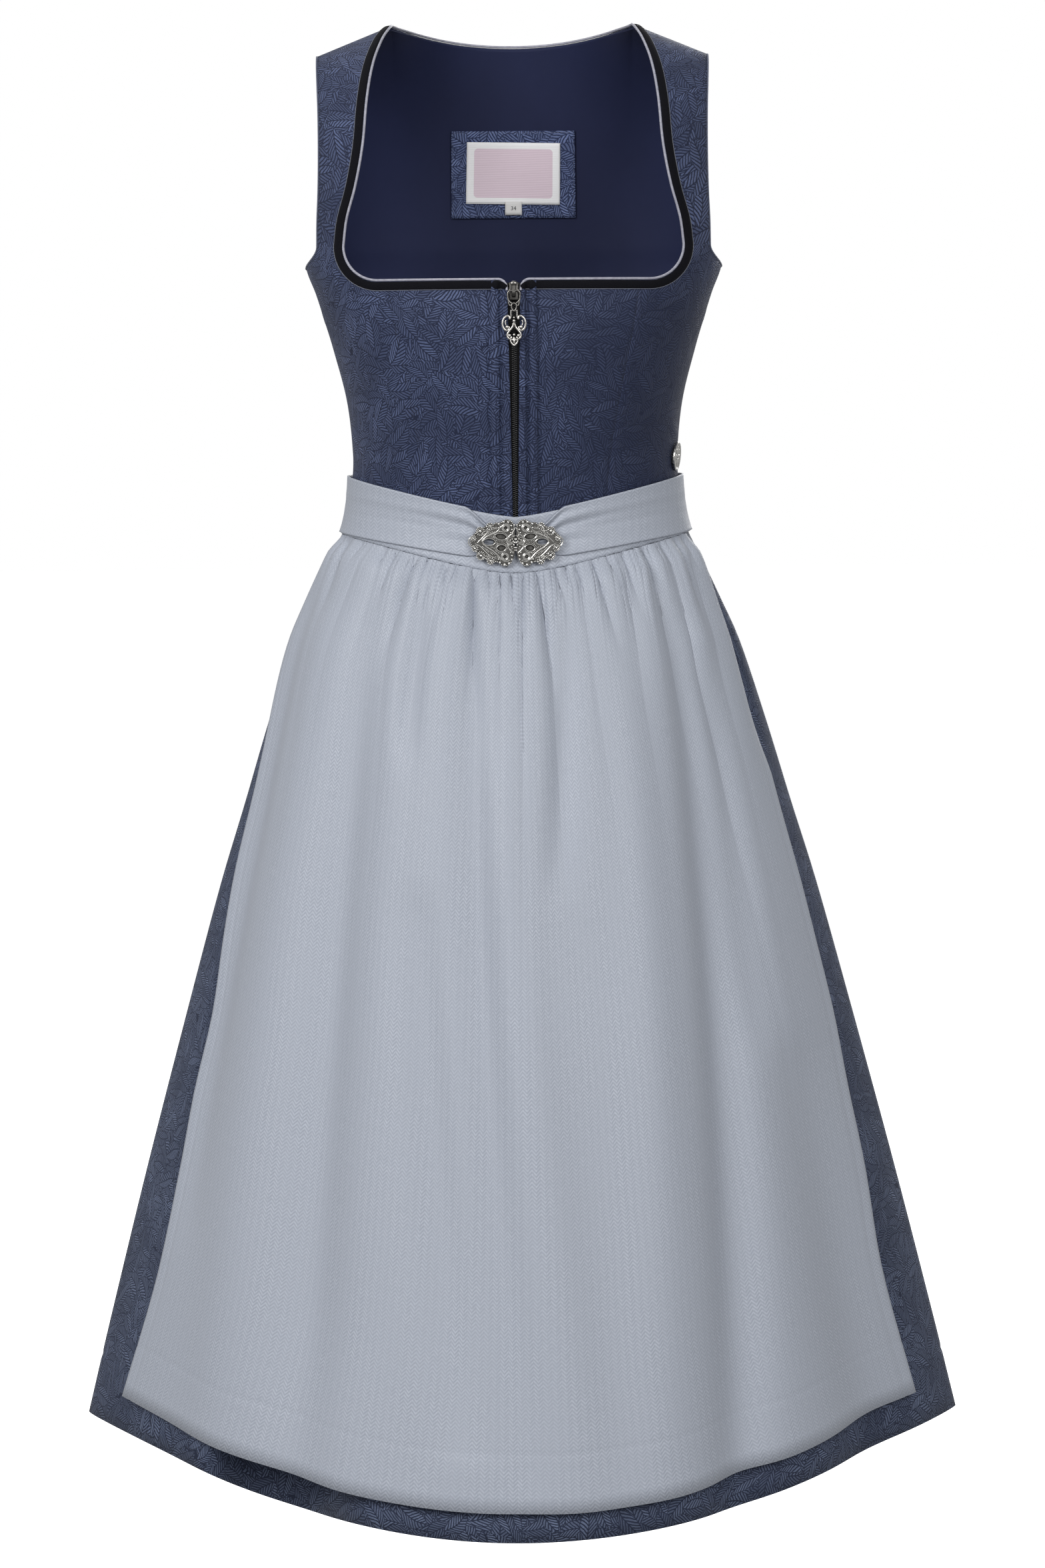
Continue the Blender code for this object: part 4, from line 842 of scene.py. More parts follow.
def make_piece(name, bm, finish, weld=0.000002):
    """Make a piece of a finished mesh whose faces point outwards."""
    bmesh.ops.remove_doubles(bm, verts=bm.verts, dist=weld)
    bmesh.ops.recalc_face_normals(bm, faces=bm.faces)
    mesh = bpy.data.meshes.new(name)
    bm.to_mesh(mesh)
    bm.free()
    mesh.materials.clear()
    mesh.materials.append(finish)
    mesh.shade_smooth()
    mesh.set_sharp_from_angle(angle=math.radians(50.0))
    piece = bpy.data.objects.new(name, mesh)
    bpy.context.collection.objects.link(piece)
    return piece


def make_trimming(name, colour, dark, light, roughness, grain, detail, bump, sheen, specular=0.5):
    """Look of a small trimming, whose colour and relief waver with a fine grain."""
    finish = Finish(name, colour, roughness, sheen=sheen, specular=specular)
    grains = finish.noise(finish.on_piece(), grain, detail)
    finish.use(colour=finish.tint(grains, (*dark, 1.0), (*light, 1.0)))
    finish.relief(grains, bump)
    return finish


def make_thread(name, colour):
    """Sewing thread with a soft shine."""
    dark, light = [0.8 * part for part in colour], [1.25 * part for part in colour]
    return make_trimming(name, colour, dark, light, 0.45, 1800.0, 1.0, 0.00006, 0.2).material


velvet = make_trimming("black_velvet", (0.0060, 0.0060, 0.0085), (0.0018, 0.0018, 0.0028),
                       (0.0080, 0.0080, 0.0115), 0.85, 1500.0, 2.0, 0.0003, 0.05, 0.08)
velvet.fix("Sheen Roughness", 0.35)
satin_cord = make_trimming("silver_piping", (0.32, 0.32, 0.38), (0.17, 0.17, 0.21), (0.46, 0.46, 0.53),
                           0.42, 420.0, 3.0, 0.0002, 0.1, 0.3)
neck_pairs = neck_path()
half_ribbon = across_ribbon(neck_pairs)
ribbon = [row + other[1:] for row, other in zip(half_ribbon, mirrored(half_ribbon))]


def ribbon_lift(point, u, v):
    """Pile of the ribbon, rounded across, raised over the lips beside the zip."""
    spots = [VELVET_WIDTH * k / (len(VELVET_PROFILE) - 1) for k in range(len(VELVET_PROFILE))]
    beside_zip = point.y < 0.0 and abs(point.x) < CHANNEL_END_X
    return float(np.interp(v, spots, VELVET_PROFILE)) + (zip_relief(point.x) if beside_zip else 0.0)


velvet_band, area = cloth_piece("velvet_band", [ribbon], ribbon_lift, VELVET_PILE, velvet.material, None,
                                "black_velvet", "neck_velvet")

out_of_edge = [(edge - inner).normalized() for edge, inner in neck_pairs]
cord_path = [edge + away * (PIPING_RADIUS + PIPING_GAP) for (edge, _), away in zip(neck_pairs, out_of_edge)]
cord_path = [point for point in cord_path if point.y > 0.0 or point.x > PIPING_START_X]
turned = [on_front(x, NECK_EDGE_Z + drop)[0] + Vector((0.0, -PIPING_OUT, 0.0)) for x, drop in PIPING_END]
bm = bmesh.new()
add_cord(bm, mirror_path(turned + cord_path), PIPING_RADIUS)
settle(make_piece("satin_piping", bm, satin_cord.material), "silver_piping", "neck_piping")

lifted = [(inner - edge).cross(after[0] - edge) for (edge, inner), after in zip(neck_pairs, neck_pairs[1:])]
thread_path = [inner + out.normalized() * THREAD_LIFT for (_, inner), out in zip(neck_pairs, lifted)]
bm = bmesh.new()
add_cord(bm, mirror_path(thread_path[1:]), THREAD_RADIUS, 1)
settle(make_piece("velvet_edge_thread", bm, make_thread("dull_thread", (0.13, 0.14, 0.18))), "silver_piping")


# Armhole edges
# The cotton is turned in at each armhole as a rolled edge, a little paler than the print: a painted
# highlight along the fold.

ROLL_RADIUS = 0.0007
ROLL_SINK = 0.2 * ROLL_RADIUS


def armhole_path():
    """Edge of the left armhole, from the foot of the front strap over the shoulder and round below."""
    front = [row[-1][0] for row in strap]
    back = [row[-1][0] for row in reversed(back_high)]
    under_back = [place[0] for place in back_low[-1][NECK_COLUMNS + SHOULDER_COLUMNS + 1:]]
    under_front = [place[0] for place in reversed(side_panel[-1][-FRONT_SCOOP:])]
    return front + back[1:] + under_back + under_front[1:] + [front[0]]


# The rolled edge's paler colour is a painted highlight where light catches the fold.
painted_edge_highlight = make_trimming("painted_edge_highlight", (0.075, 0.088, 0.140), (0.040, 0.048, 0.085),
                             (0.115, 0.130, 0.190), 0.6, 500.0, 2.0, 0.0002, 0.1)
for hand, word in HANDS:
    path = [Vector((hand * p.x, p.y, p.z)) + Vector((0.0, 0.0, -ROLL_SINK)) for p in armhole_path()]
    bm = bmesh.new()
    add_cord(bm, path, ROLL_RADIUS, 1)
    settle(make_piece(f"armhole_edge_{word}", bm, painted_edge_highlight.material), "leaf_cotton")


# Zip
# Black woven tape behind the lips, with two rows of small coated teeth that mesh at the centre.

TAPE_HALF_WIDTH, TAPE_LIFT, TAPE_CLOTH = 0.0110, -0.0016, 0.0009
ZIP_TOP_Z, ZIP_LOW_Z, TAPE_BELOW_NECK = -0.1905, -0.3715, 0.0012
TOOTH_PITCH, TOOTH_OUT, TOOTH_TURN = 0.0015, 0.00085, math.radians(16.0)
TOOTH_HALF = (0.00135, 0.00055, 0.00046)
TOOTH_LIFT = -0.0004


def zip_rows():
    """Rows of the tape, from the waist to the neck edge."""
    across = steps((-TAPE_HALF_WIDTH, 20), (TAPE_HALF_WIDTH, 0))
    up = steps((ZIP_LOW_Z, 70), (NECK_EDGE_Z - TAPE_BELOW_NECK, 0))
    return [[on_front(x, z) for x in across] for z in up]


def slope_of_front(z):
    """Lean of the centre front at one height, about X."""
    low, high = on_front(0.0, z - 0.004)[0], on_front(0.0, z + 0.004)[0]
    return math.atan2(high.y - low.y, high.z - low.z)


def make_coated_teeth():
    """Black enamel with a soft shine."""
    finish = Finish("coated_teeth", (0.010, 0.010, 0.011), 0.28, specular=0.6)
    grit = finish.noise(finish.on_piece(), 900.0, 2.0)
    finish.use(roughness=finish.ramp(grit, 0.3, 0.7, 0.22, 0.42))
    finish.relief(grit, 0.00005)
    return finish.material


black_tape = make_weave("black_tape", (0.0075, 0.0075, 0.0085), 0.7, 0.15, 0.0009)
tape, _ = cloth_piece("zip_tape_cloth", [zip_rows()], TAPE_LIFT, TAPE_CLOTH, black_tape, None,
                      "black_zip", "zip_tape")

bm = bmesh.new()
for k in range(int((ZIP_TOP_Z - ZIP_LOW_Z) / TOOTH_PITCH)):
    for hand in (LEFT, RIGHT):
        z = ZIP_LOW_Z + TOOTH_PITCH * (k + (0.5 if hand == LEFT else 0.0))
        foot = on_front(0.0, z)[0] + Vector((hand * TOOTH_OUT, -TOOTH_LIFT, 0.0))
        lean = Matrix.Rotation(-slope_of_front(z), 4, "X") @ Matrix.Rotation(hand * TOOTH_TURN, 4, "Y")
        shape = Matrix.Translation(foot) @ lean @ Matrix.Diagonal((*TOOTH_HALF, 1.0))
        bmesh.ops.create_icosphere(bm, subdivisions=2, radius=1.0, matrix=shape)
settle(make_piece("zip_teeth", bm, make_coated_teeth()), "black_zip", "zip_chain")


# Slider and pull
# An antique silver slider whose crown holds a wishbone link, with a small cast pendant of scrolls and
# beads hanging in the link's eye. The pull is drawn up to the top of the zip.

SLIDER_Z = -0.1945
SLIDER_LIFT = 0.0005
SLIDER_HALF_WIDTH, SLIDER_HALF_HEIGHT, SLIDER_THICK = 0.0035, 0.0065, 0.0024
SLIDER_ROUNDING = 0.0009
CROWN = [(SLIDER_THICK, 0.0056), (SLIDER_THICK + 0.0019, 0.0044), (SLIDER_THICK + 0.0024, 0.0010),
         (SLIDER_THICK + 0.0020, -0.0028), (SLIDER_THICK, -0.0042)]
CROWN_SIDES, CROWN_WIRE = (-0.0008, -0.00027, 0.00027, 0.0008), 0.00055
CAP_OUT, CAP_Z, CAP_HALF = 0.0004, 0.0056, (0.0027, 0.0013, 0.0017)
LINK_HINGE = Vector((0.0, -0.125077, -0.19387))
LINK_LENGTH = 0.0139
PENDANT_HINGE = LINK_HINGE - Vector((0.0, 0.0, LINK_LENGTH))
Bead = namedtuple("Bead", "x z radius")


def make_old_silver(name, bright, dark, roughness):
    """Cast silver, rubbed bright where it stands out and dark in its corners."""
    finish = Finish(name, bright, roughness, metallic=1.0)
    corner = finish.step("AmbientOcclusion", {"Distance": 0.0016}, out="AO", samples=8)
    grime = finish.noise(finish.on_piece(), 700.0, 3.0)
    worn = finish.ramp(grime, 0.25, 0.6, 0.75, 1.0)
    rubbed = finish.times(finish.ramp(corner, 0.35, 0.95), worn)
    finish.use(colour=finish.tint(rubbed, (*dark, 1.0), (*bright, 1.0)),
               roughness=finish.ramp(rubbed, 0.0, 1.0, 0.6, roughness))
    finish.relief(grime, 0.00008, 0.5)
    return finish.material


old_silver = make_old_silver("old_silver", (0.72, 0.71, 0.68), (0.040, 0.038, 0.036), 0.24)
dark_silver = make_old_silver("dark_silver", (0.075, 0.072, 0.068), (0.014, 0.013, 0.012), 0.38)
plate_silver = make_old_silver("plate_silver", (0.15, 0.146, 0.138), (0.020, 0.019, 0.018), 0.38)
grey_silver = make_old_silver("grey_silver", (0.26, 0.25, 0.235), (0.022, 0.021, 0.019), 0.28)
worn_silver = make_old_silver("worn_silver", (0.58, 0.56, 0.53), (0.030, 0.028, 0.026), 0.27)


def add_wire(bm, points, radius, place, closed=False, rounds=2):
    """Round wire that runs smoothly through a few points."""
    curve, line = new_wire(radius, rounds, "BEZIER")
    line.bezier_points.add(len(points) - 1)
    line.use_cyclic_u = closed
    line.resolution_u = 5
    for knot, point in zip(line.bezier_points, points):
        knot.co = place @ Vector(point)
        knot.handle_left_type = knot.handle_right_type = "AUTO"
    add_curve(bm, curve)


def add_ball(bm, place, half, subdivisions=2):
    """Ball, drawn out to its half sizes."""
    shape = place @ Matrix.Diagonal((*half, 1.0))
    bmesh.ops.create_icosphere(bm, subdivisions=subdivisions, radius=1.0, matrix=shape)


def add_beads(bm, place, beads, hand=LEFT, y=0.0, flat=1.0):
    """Small balls, or flatter ones, in the plane of a casting or of its mirror image."""
    for bead in beads:
        spot = place @ Matrix.Translation((hand * bead.x, y, bead.z))
        add_ball(bm, spot, (bead.radius, bead.radius * flat, bead.radius))


def in_plane(points, hand=LEFT, y=0.0):
    """Points of a casting's plane, or of its mirror image."""
    return [(hand * x, y, z) for x, z in points]


def add_block(bm, size, place, rounding):
    """Block with rounded edges."""
    made = bmesh.ops.create_cube(bm, size=1.0, matrix=place @ Matrix.Diagonal((*size, 1.0)))
    edges = list({edge for vert in made["verts"] for edge in vert.link_edges})
    bmesh.ops.bevel(bm, geom=edges, offset=rounding, segments=3, affect="EDGES", profile=0.5, material=-1)


slider_foot = on_front(0.0, SLIDER_Z)[0]
slider_turn = Matrix.Translation(slider_foot) @ Matrix.Rotation(-slope_of_front(SLIDER_Z), 4, "X")
middle = -SLIDER_LIFT - 0.5 * SLIDER_THICK
bm = bmesh.new()
size = (2.0 * SLIDER_HALF_WIDTH, SLIDER_THICK, 2.0 * SLIDER_HALF_HEIGHT)
add_block(bm, size, slider_turn @ Matrix.Translation((0.0, middle, 0.0)), SLIDER_ROUNDING)
for side in CROWN_SIDES:
    add_wire(bm, [(side, -out, z) for out, z in CROWN], CROWN_WIRE, slider_turn)
settle(make_piece("slider_body", bm, dark_silver), "old_silver", "zip_slider")
bm = bmesh.new()
add_ball(bm, slider_turn @ Matrix.Translation((0.0, -SLIDER_THICK - CAP_OUT, CAP_Z)), CAP_HALF, 3)
settle(make_piece("slider_cap", bm, grey_silver), "old_silver")

WISHBONE = [(0.0028, 0.0003), (0.0041, -0.0012), (0.0043, -0.0042), (0.0037, -0.0070), (0.0016, -0.0088)]
LINK_WING = [(0.0039, -0.0066), (0.0036, -0.0092), (0.0027, -0.0104), (0.0014, -0.0096)]
LINK_EYE = [(0.0, -0.0086), (0.0015, -0.0096), (0.0017, -0.0118), (0.0009, -0.0136), (0.0, -0.0142)]
LINK_WIRES = [(WISHBONE, 0.00062), (LINK_WING, 0.00050), (LINK_EYE, 0.00055)]
LINK_BEAD = Bead(0.0029, 0.0003, 0.00085)
LINK_PIN = [(-0.0028, 0.0), (0.0, 0.0), (0.0028, 0.0)]
bm = bmesh.new()
at_link = Matrix.Translation(LINK_HINGE)
for hand in (LEFT, RIGHT):
    for points, radius in LINK_WIRES:
        add_wire(bm, in_plane(points, hand), radius, at_link)
    add_beads(bm, at_link, [LINK_BEAD], hand)
add_wire(bm, in_plane(LINK_PIN), 0.00050, at_link)
settle(make_piece("wishbone_link", bm, grey_silver), "old_silver", "pull_link", body="link")

PENDANT_PRONG = [(0.0021, 0.0004), (0.0022, -0.0022), (0.0022, -0.0043), (0.0028, -0.0056)]
SCROLL = [(0.0030, -0.0052), (0.0040, -0.0039), (0.0062, -0.0046), (0.0080, -0.0077), (0.0080, -0.0107),
          (0.0066, -0.0133), (0.0048, -0.0140), (0.0034, -0.0128), (0.0038, -0.0113)]
SCROLL_VEIN = [(0.0056, -0.0068), (0.0062, -0.0086), (0.0057, -0.0104)]
DROP = [(0.0002, -0.0086), (0.0012, -0.0116), (0.0037, -0.0148), (0.0048, -0.0171), (0.0042, -0.0192),
        (0.0026, -0.0198), (0.0016, -0.0186)]
TULIP = [(0.0, -0.0190), (0.0012, -0.0208), (0.0023, -0.0205), (0.0021, -0.0225), (0.0, -0.0247)]
PENDANT_WIRES = [(PENDANT_PRONG, 0.00055), (SCROLL, 0.00084), (SCROLL_VEIN, 0.00050), (DROP, 0.00078),
                 (TULIP, 0.00060)]
PENDANT_PIN = [(-0.0021, 0.0), (0.0, 0.0), (0.0021, 0.0)]
PENDANT_BEADS = table(Bead, [
    (0.0030, -0.0055, 0.00105), (0.0049, -0.0116, 0.00140), (0.0032, -0.0176, 0.00130),
])
MIDDLE_BEADS = table(Bead, [
    (0.0, -0.0050, 0.00075), (0.0, -0.0073, 0.00125), (0.0, -0.0170, 0.00100),
])
PETAL_Z, PETAL_HALF = -0.0216, (0.0009, 0.0007, 0.0024)
bm = bmesh.new()
at_pendant = Matrix.Translation(PENDANT_HINGE)
for hand in (LEFT, RIGHT):
    for points, radius in PENDANT_WIRES:
        add_wire(bm, in_plane(points, hand), radius, at_pendant)
    add_beads(bm, at_pendant, PENDANT_BEADS, hand, flat=0.8)
add_beads(bm, at_pendant, MIDDLE_BEADS, flat=0.8)
add_wire(bm, in_plane(PENDANT_PIN), 0.00045, at_pendant)
add_ball(bm, at_pendant @ Matrix.Translation((0.0, 0.0, PETAL_Z)), PETAL_HALF)
settle(make_piece("scroll_pendant", bm, worn_silver), "old_silver", "pull_pendant", body="pendant")


# Label inside the back
# A patch of the leaf print is stitched to the lining, with a white satin label on it that has a plain pink
# field, and a small folded size tab below.

LABEL_TURN = math.radians(-1.0)
Patch = namedtuple("Patch", "half_width top low lift cloth columns")
PATCH = Patch(0.0470, -0.0715, -0.1365, -0.0037, 0.0007, 48)
LABEL = Patch(0.0355, -0.0800, -0.1260, -0.0049, 0.0005, 40)
TAB = Patch(0.0063, -0.1240, -0.1340, -0.0059, 0.0004, 8)
FIELD_HALF_WIDTH, FIELD_HALF_HEIGHT, FIELD_CORNER = 0.0300, 0.0185, 0.0030
FIGURE_HEIGHT, FIGURE_THICK, FIGURE_LIFT, FIGURE_DROP = 0.0042, 0.00003, 0.00025, 0.0004
STITCH_INSET, STITCH_LIFT = 0.0018, 0.0001
STITCH_PITCH, STITCH_LENGTH, STITCH_RADIUS = 0.0026, 0.0019, 0.00022


def back_at(x, z):
    """Point on the back above the foot of the straps, at a given height."""
    return arch_point(x, math.asin(min((z - STRAP_BASE_Z) / arch_height(x, BACK), 1.0)), BACK)


def patch_rows(patch, turn=0.0):
    """Rows of a small cloth on the back, which may be a little turned."""
    middle = 0.5 * (patch.top + patch.low)
    rows = []
    for z in steps((patch.low, patch.columns // 2), (patch.top, 0)):
        row = []
        for x in steps((patch.half_width, patch.columns), (-patch.half_width, 0)):
            turned_z = middle + (z - middle) * math.cos(turn) + x * math.sin(turn)
            turned_x = x * math.cos(turn) - (z - middle) * math.sin(turn)
            row.append((back_at(turned_x, turned_z), (x, z - middle)))
        rows.append(row)
    return rows


def make_satin_label():
    """White satin with a plain pink woven field."""
    finish = Finish("label_satin", (0.80, 0.79, 0.80), 0.42, sheen=0.3)
    u, v, _ = finish.parts(finish.on_cloth())
    beyond_x = finish.minus(finish.maths("ABSOLUTE", u), FIELD_HALF_WIDTH - FIELD_CORNER)
    beyond_z = finish.minus(finish.maths("ABSOLUTE", v), FIELD_HALF_HEIGHT - FIELD_CORNER)
    beyond_x = finish.maths("MAXIMUM", beyond_x, 0.0)
    beyond_z = finish.maths("MAXIMUM", beyond_z, 0.0)
    away = finish.maths("SQRT", finish.plus(finish.times(beyond_x, beyond_x),
                                             finish.times(beyond_z, beyond_z)))
    outside = finish.ramp(away, FIELD_CORNER - 0.0003, FIELD_CORNER)
    threads = finish.maths("SINE", finish.times(v, 2.0 * math.pi / 0.0007))
    pink = finish.tint(finish.ramp(threads, -1.0, 1.0), (0.73, 0.59, 0.67, 1.0), (0.82, 0.68, 0.76, 1.0))
    finish.use(colour=finish.tint(outside, pink, (0.94, 0.94, 0.95, 1.0)))
    finish.relief(threads, 0.00004)
    return finish.material


def add_stitches(bm, path, outward):
    """Short stitches at even spacing along a path, each a small flat bead of thread."""
    walked, following = 0.0, 0.5 * STITCH_PITCH
    for a, b in zip(path, path[1:]):
        run = (b - a).length
        while run > 0.0 and walked + run >= following:
            spot = a.lerp(b, (following - walked) / run)
            along = (b - a).normalized()
            side = outward.cross(along).normalized()
            turn = Matrix((along, side, along.cross(side))).transposed().to_4x4()
            shape = Matrix.Diagonal((0.5 * STITCH_LENGTH, STITCH_RADIUS, STITCH_RADIUS, 1.0))
            shape = Matrix.Translation(spot) @ turn @ shape
            bmesh.ops.create_icosphere(bm, subdivisions=1, radius=1.0, matrix=shape)
            following += STITCH_PITCH
        walked += run


label_satin = make_satin_label()
# The patch's copy of the print is lightened: painted light, standing for light that reaches it inside the
# neck.
patch_cotton_painted_light = make_leaf_cotton("patch_cotton_painted_light", (1.9, 1.9, 1.9))
white_tape = make_weave("white_tape", (0.78, 0.77, 0.76), 0.5, 0.3)
for name, patch, turn, finish, slot, node, lies_on in (
        ("print_patch", PATCH, 0.0, patch_cotton_painted_light, "leaf_cotton", "label_patch", "back_lining_cloth"),
        ("satin_label", LABEL, LABEL_TURN, label_satin, "label_cloth", "neck_label", "print_patch"),
        ("folded_tab", TAB, 0.0, white_tape, "label_cloth", "size_tab", "satin_label")):
    piece, _ = cloth_piece(name, [patch_rows(patch, turn)], patch.lift, patch.cloth, finish, None, slot, node)
    flat = (2.0 * patch.half_width, patch.top - patch.low)

side, top, low = PATCH.half_width - STITCH_INSET, PATCH.top - STITCH_INSET, PATCH.low + STITCH_INSET
corners = [(side, top), (-side, top), (-side, low), (side, low)]
sewn = Vector((0.0, PATCH.lift - PATCH.cloth - STITCH_LIFT, 0.0))
edge_path = []
for (x0, z0), (x1, z1) in zip(corners, corners[1:] + corners[:1]):
    edge_path += [back_at(mix(x0, x1, k / 12), mix(z0, z1, k / 12)) + sewn for k in range(12)]
edge_path.append(edge_path[0])
bm = bmesh.new()
add_stitches(bm, edge_path, Vector((0.0, -1.0, 0.0)))
settle(make_piece("patch_stitches", bm, make_thread("blue_thread", (0.10, 0.12, 0.19))), "navy_lining")

figures = bpy.data.curves.new("tab_figures", "FONT")
figures.body = "34"
figures.align_x = figures.align_y = "CENTER"
figures.size = FIGURE_HEIGHT
figures.extrude = FIGURE_THICK
bm = bmesh.new()
add_curve(bm, figures)
tab_middle = back_at(0.0, 0.5 * (TAB.top + TAB.low) - FIGURE_DROP)
face_in = Matrix.Translation(tab_middle + Vector((0.0, TAB.lift - TAB.cloth - FIGURE_LIFT, 0.0)))
bm.transform(face_in @ Matrix.Rotation(math.radians(90.0), 4, "X"))
settle(make_piece("tab_figures", bm, make_thread("grey_thread", (0.06, 0.06, 0.065))), "label_cloth")


# Skirt
# Front and back of the same cotton, gathered into the waist seam and joined at the sides, with soft folds
# that fall from the gathers to a turned hem. The back is fuller than the front.

Fold = namedtuple("Fold", "top_place low_place starts ends depth width")
FRONT_FOLDS = table(Fold, [
    (-0.87, -0.755, 0.04, 0.78, 0.0065, 0.050),
    (-0.52, -0.36, 0.04, 1.25, 0.0115, 0.075),
    (-0.35, -0.33, 0.01, 0.24, 0.0055, 0.040),
    (-0.25, -0.09, 0.36, 0.92, 0.0075, 0.055),
    (-0.155, 0.01, 0.04, 0.98, 0.0080, 0.050),
    (0.19, 0.10, 0.03, 0.36, 0.0065, 0.045),
    (0.58, 0.335, 0.04, 1.25, 0.0130, 0.060),
    (0.92, 0.84, 0.03, 0.28, 0.0055, 0.045),
    (0.66, 0.58, 0.14, 0.56, 0.0060, 0.055),
    (0.70, 0.72, 0.56, 1.40, 0.0100, 0.100),
    (-0.68, -0.55, 0.10, 1.20, -0.0070, 0.090),
    (-0.06, 0.13, 0.20, 1.10, -0.0070, 0.070),
    (0.34, 0.21, 0.15, 1.20, -0.0065, 0.075),
])
BACK_FOLDS = table(Fold, [
    (-0.90, -0.84, 0.02, 1.30, 0.0090, 0.055),
    (-0.72, -0.66, 0.02, 0.80, 0.0070, 0.045),
    (-0.55, -0.47, 0.02, 1.40, 0.0120, 0.060),
    (-0.38, -0.30, 0.02, 0.95, 0.0080, 0.045),
    (-0.19, -0.13, 0.02, 1.35, 0.0110, 0.055),
    (-0.02, 0.03, 0.02, 0.70, 0.0080, 0.045),
    (0.15, 0.19, 0.02, 1.40, 0.0120, 0.060),
    (0.33, 0.35, 0.02, 0.90, 0.0080, 0.045),
    (0.50, 0.53, 0.02, 1.35, 0.0115, 0.060),
    (0.68, 0.70, 0.02, 0.85, 0.0075, 0.045),
    (0.88, 0.86, 0.02, 1.30, 0.0095, 0.055),
    (-0.63, -0.57, 0.15, 1.40, -0.0080, 0.060),
    (-0.28, -0.21, 0.15, 1.40, -0.0080, 0.060),
    (0.07, 0.11, 0.15, 1.40, -0.0080, 0.060),
    (0.42, 0.44, 0.15, 1.40, -0.0080, 0.060),
    (0.78, 0.78, 0.15, 1.40, -0.0080, 0.060),
])
GATHER_DEPTH, GATHER_LENGTH, GATHER_PRESSED = 0.0042, 0.19, 0.045
GATHER_FINE_DEPTH, GATHER_FINE_LENGTH = 0.0015, 0.040
SKIRT_LENGTH = 0.690
HEM_FOLD, HEM_CREASE, HEM_CREASE_WIDTH = 0.045, 0.0005, 0.0022
HEM_GAP_PLACE, HEM_GAP_WIDTH, HEM_GAP_STARTS, HEM_GAP_RUN = -0.44, 0.115, 0.72, 0.24
HEM_SAG, HEM_FALLS_BACK = 0.27, 0.052
SIDE_SEAM_EASE, FOLD_EASE, FOLD_STARTS, FOLD_SWELL = 0.06, 0.05, 0.12, 0.6
BACK_GATHERS, BACK_GATHERS_BROAD, BACK_PRINT_START = 30, 8, 1.37


def folded(folds, place, reach):
    """How far the large folds move the cloth out at a place across it and a reach down it."""
    out = 0.0
    for fold in folds:
        span = (reach - fold.starts) / (fold.ends - fold.starts)
        if 0.0 < span < 1.0:
            centre = mix(fold.top_place, fold.low_place, span)
            swell = math.sin(math.pi * span) ** FOLD_SWELL
            out -= fold.depth * swell * math.exp(-((place - centre) / fold.width) ** 2)
    return out * soft_step(reach / FOLD_STARTS)


def skirt_point(share, reach, side):
    """Point on the skirt, without its folds: share round it and reach from waist seam to hem."""
    x, y, shares, _ = plan_curve(round(mix(WAIST_Z, HEM_Z, reach), 5), side)
    out_x = math.copysign(float(np.interp(abs(share), shares, x)), share)
    out_y = side * float(np.interp(abs(share), shares, y))
    return Vector((out_x, out_y, mix(waist_z(share, side), hem_z(share, side), reach)))


def skirt_out(share, reach, side):
    """Level direction out of the skirt."""
    step = 0.01
    ahead, behind = min(share + step, 1.0), max(share - step, -1.0)
    along = skirt_point(ahead, reach, side) - skirt_point(behind, reach, side)
    out = (Vector((along.y, -along.x, 0.0)) * -side).normalized()
    ease = soft_step((1.0 - abs(share)) / SIDE_SEAM_EASE)
    return (out * ease + Vector((math.copysign(1.0, share), 0.0, 0.0)) * (1.0 - ease)).normalized()


def skirt_fold(share, reach, side):
    """How far the skirt's cloth stands out of its form, fading to nothing at the side seams."""
    folds = FRONT_FOLDS if side == FRONT else BACK_FOLDS
    return folded(folds, share, reach) * soft_step((1.0 - abs(share)) / FOLD_EASE)


def pleats(spot, reach, depth, length, sharpness):
    """Row of rounded ridges with narrow valleys, of uneven depth and length, which die out down the cloth."""
    nearest = round(spot)
    ridge = abs(math.cos(math.pi * (spot - nearest))) ** sharpness
    height = depth * (0.70 + 0.30 * math.sin(12.9 * nearest + 0.4))
    fade = length * (1.0 + 0.40 * math.sin(7.7 * nearest) + 0.20 * math.sin(3.1 * nearest))
    return height * ridge * math.exp(-((reach / fade) ** 1.3))


def gathers(place, reach, fine, broad):
    """Short sharp gathers below the seam, crowded towards the centre, and longer soft ones between them."""
    small = fine * place * (1.0 - 0.30 * place * place)
    waver = 0.22 * math.sin(1.7 * small) + 0.15 * math.sin(4.3 * small + 1.0)
    small += waver + 6.0 * reach * math.sin(0.9 * small)
    large = broad * place + 0.30 * math.sin(4.1 * place + 0.7) + 0.28 * math.sin(9.3 * place)
    large += 0.8 * reach * math.sin(2.2 * large)
    short = pleats(small, reach, GATHER_FINE_DEPTH, GATHER_FINE_LENGTH, 0.9)
    long = pleats(large, reach, GATHER_DEPTH, GATHER_LENGTH, 1.0) * soft_step((reach + 0.02) / 0.06)
    return (short + long) * soft_step((1.0 - abs(place)) / 0.03)


def hem_crease(reach, length):
    """The cloth is drawn in along the line where its hem is sewn."""
    away = ((1.0 - reach) * length - HEM_FOLD) / HEM_CREASE_WIDTH
    return -HEM_CREASE * math.exp(-away * away)


SKIRT_REACHES = [0.90 * (k / 52) ** 1.6 for k in range(52)]
SKIRT_REACHES += steps((0.90, 2), (0.925, 8), (0.945, 3), (1.0, 0))


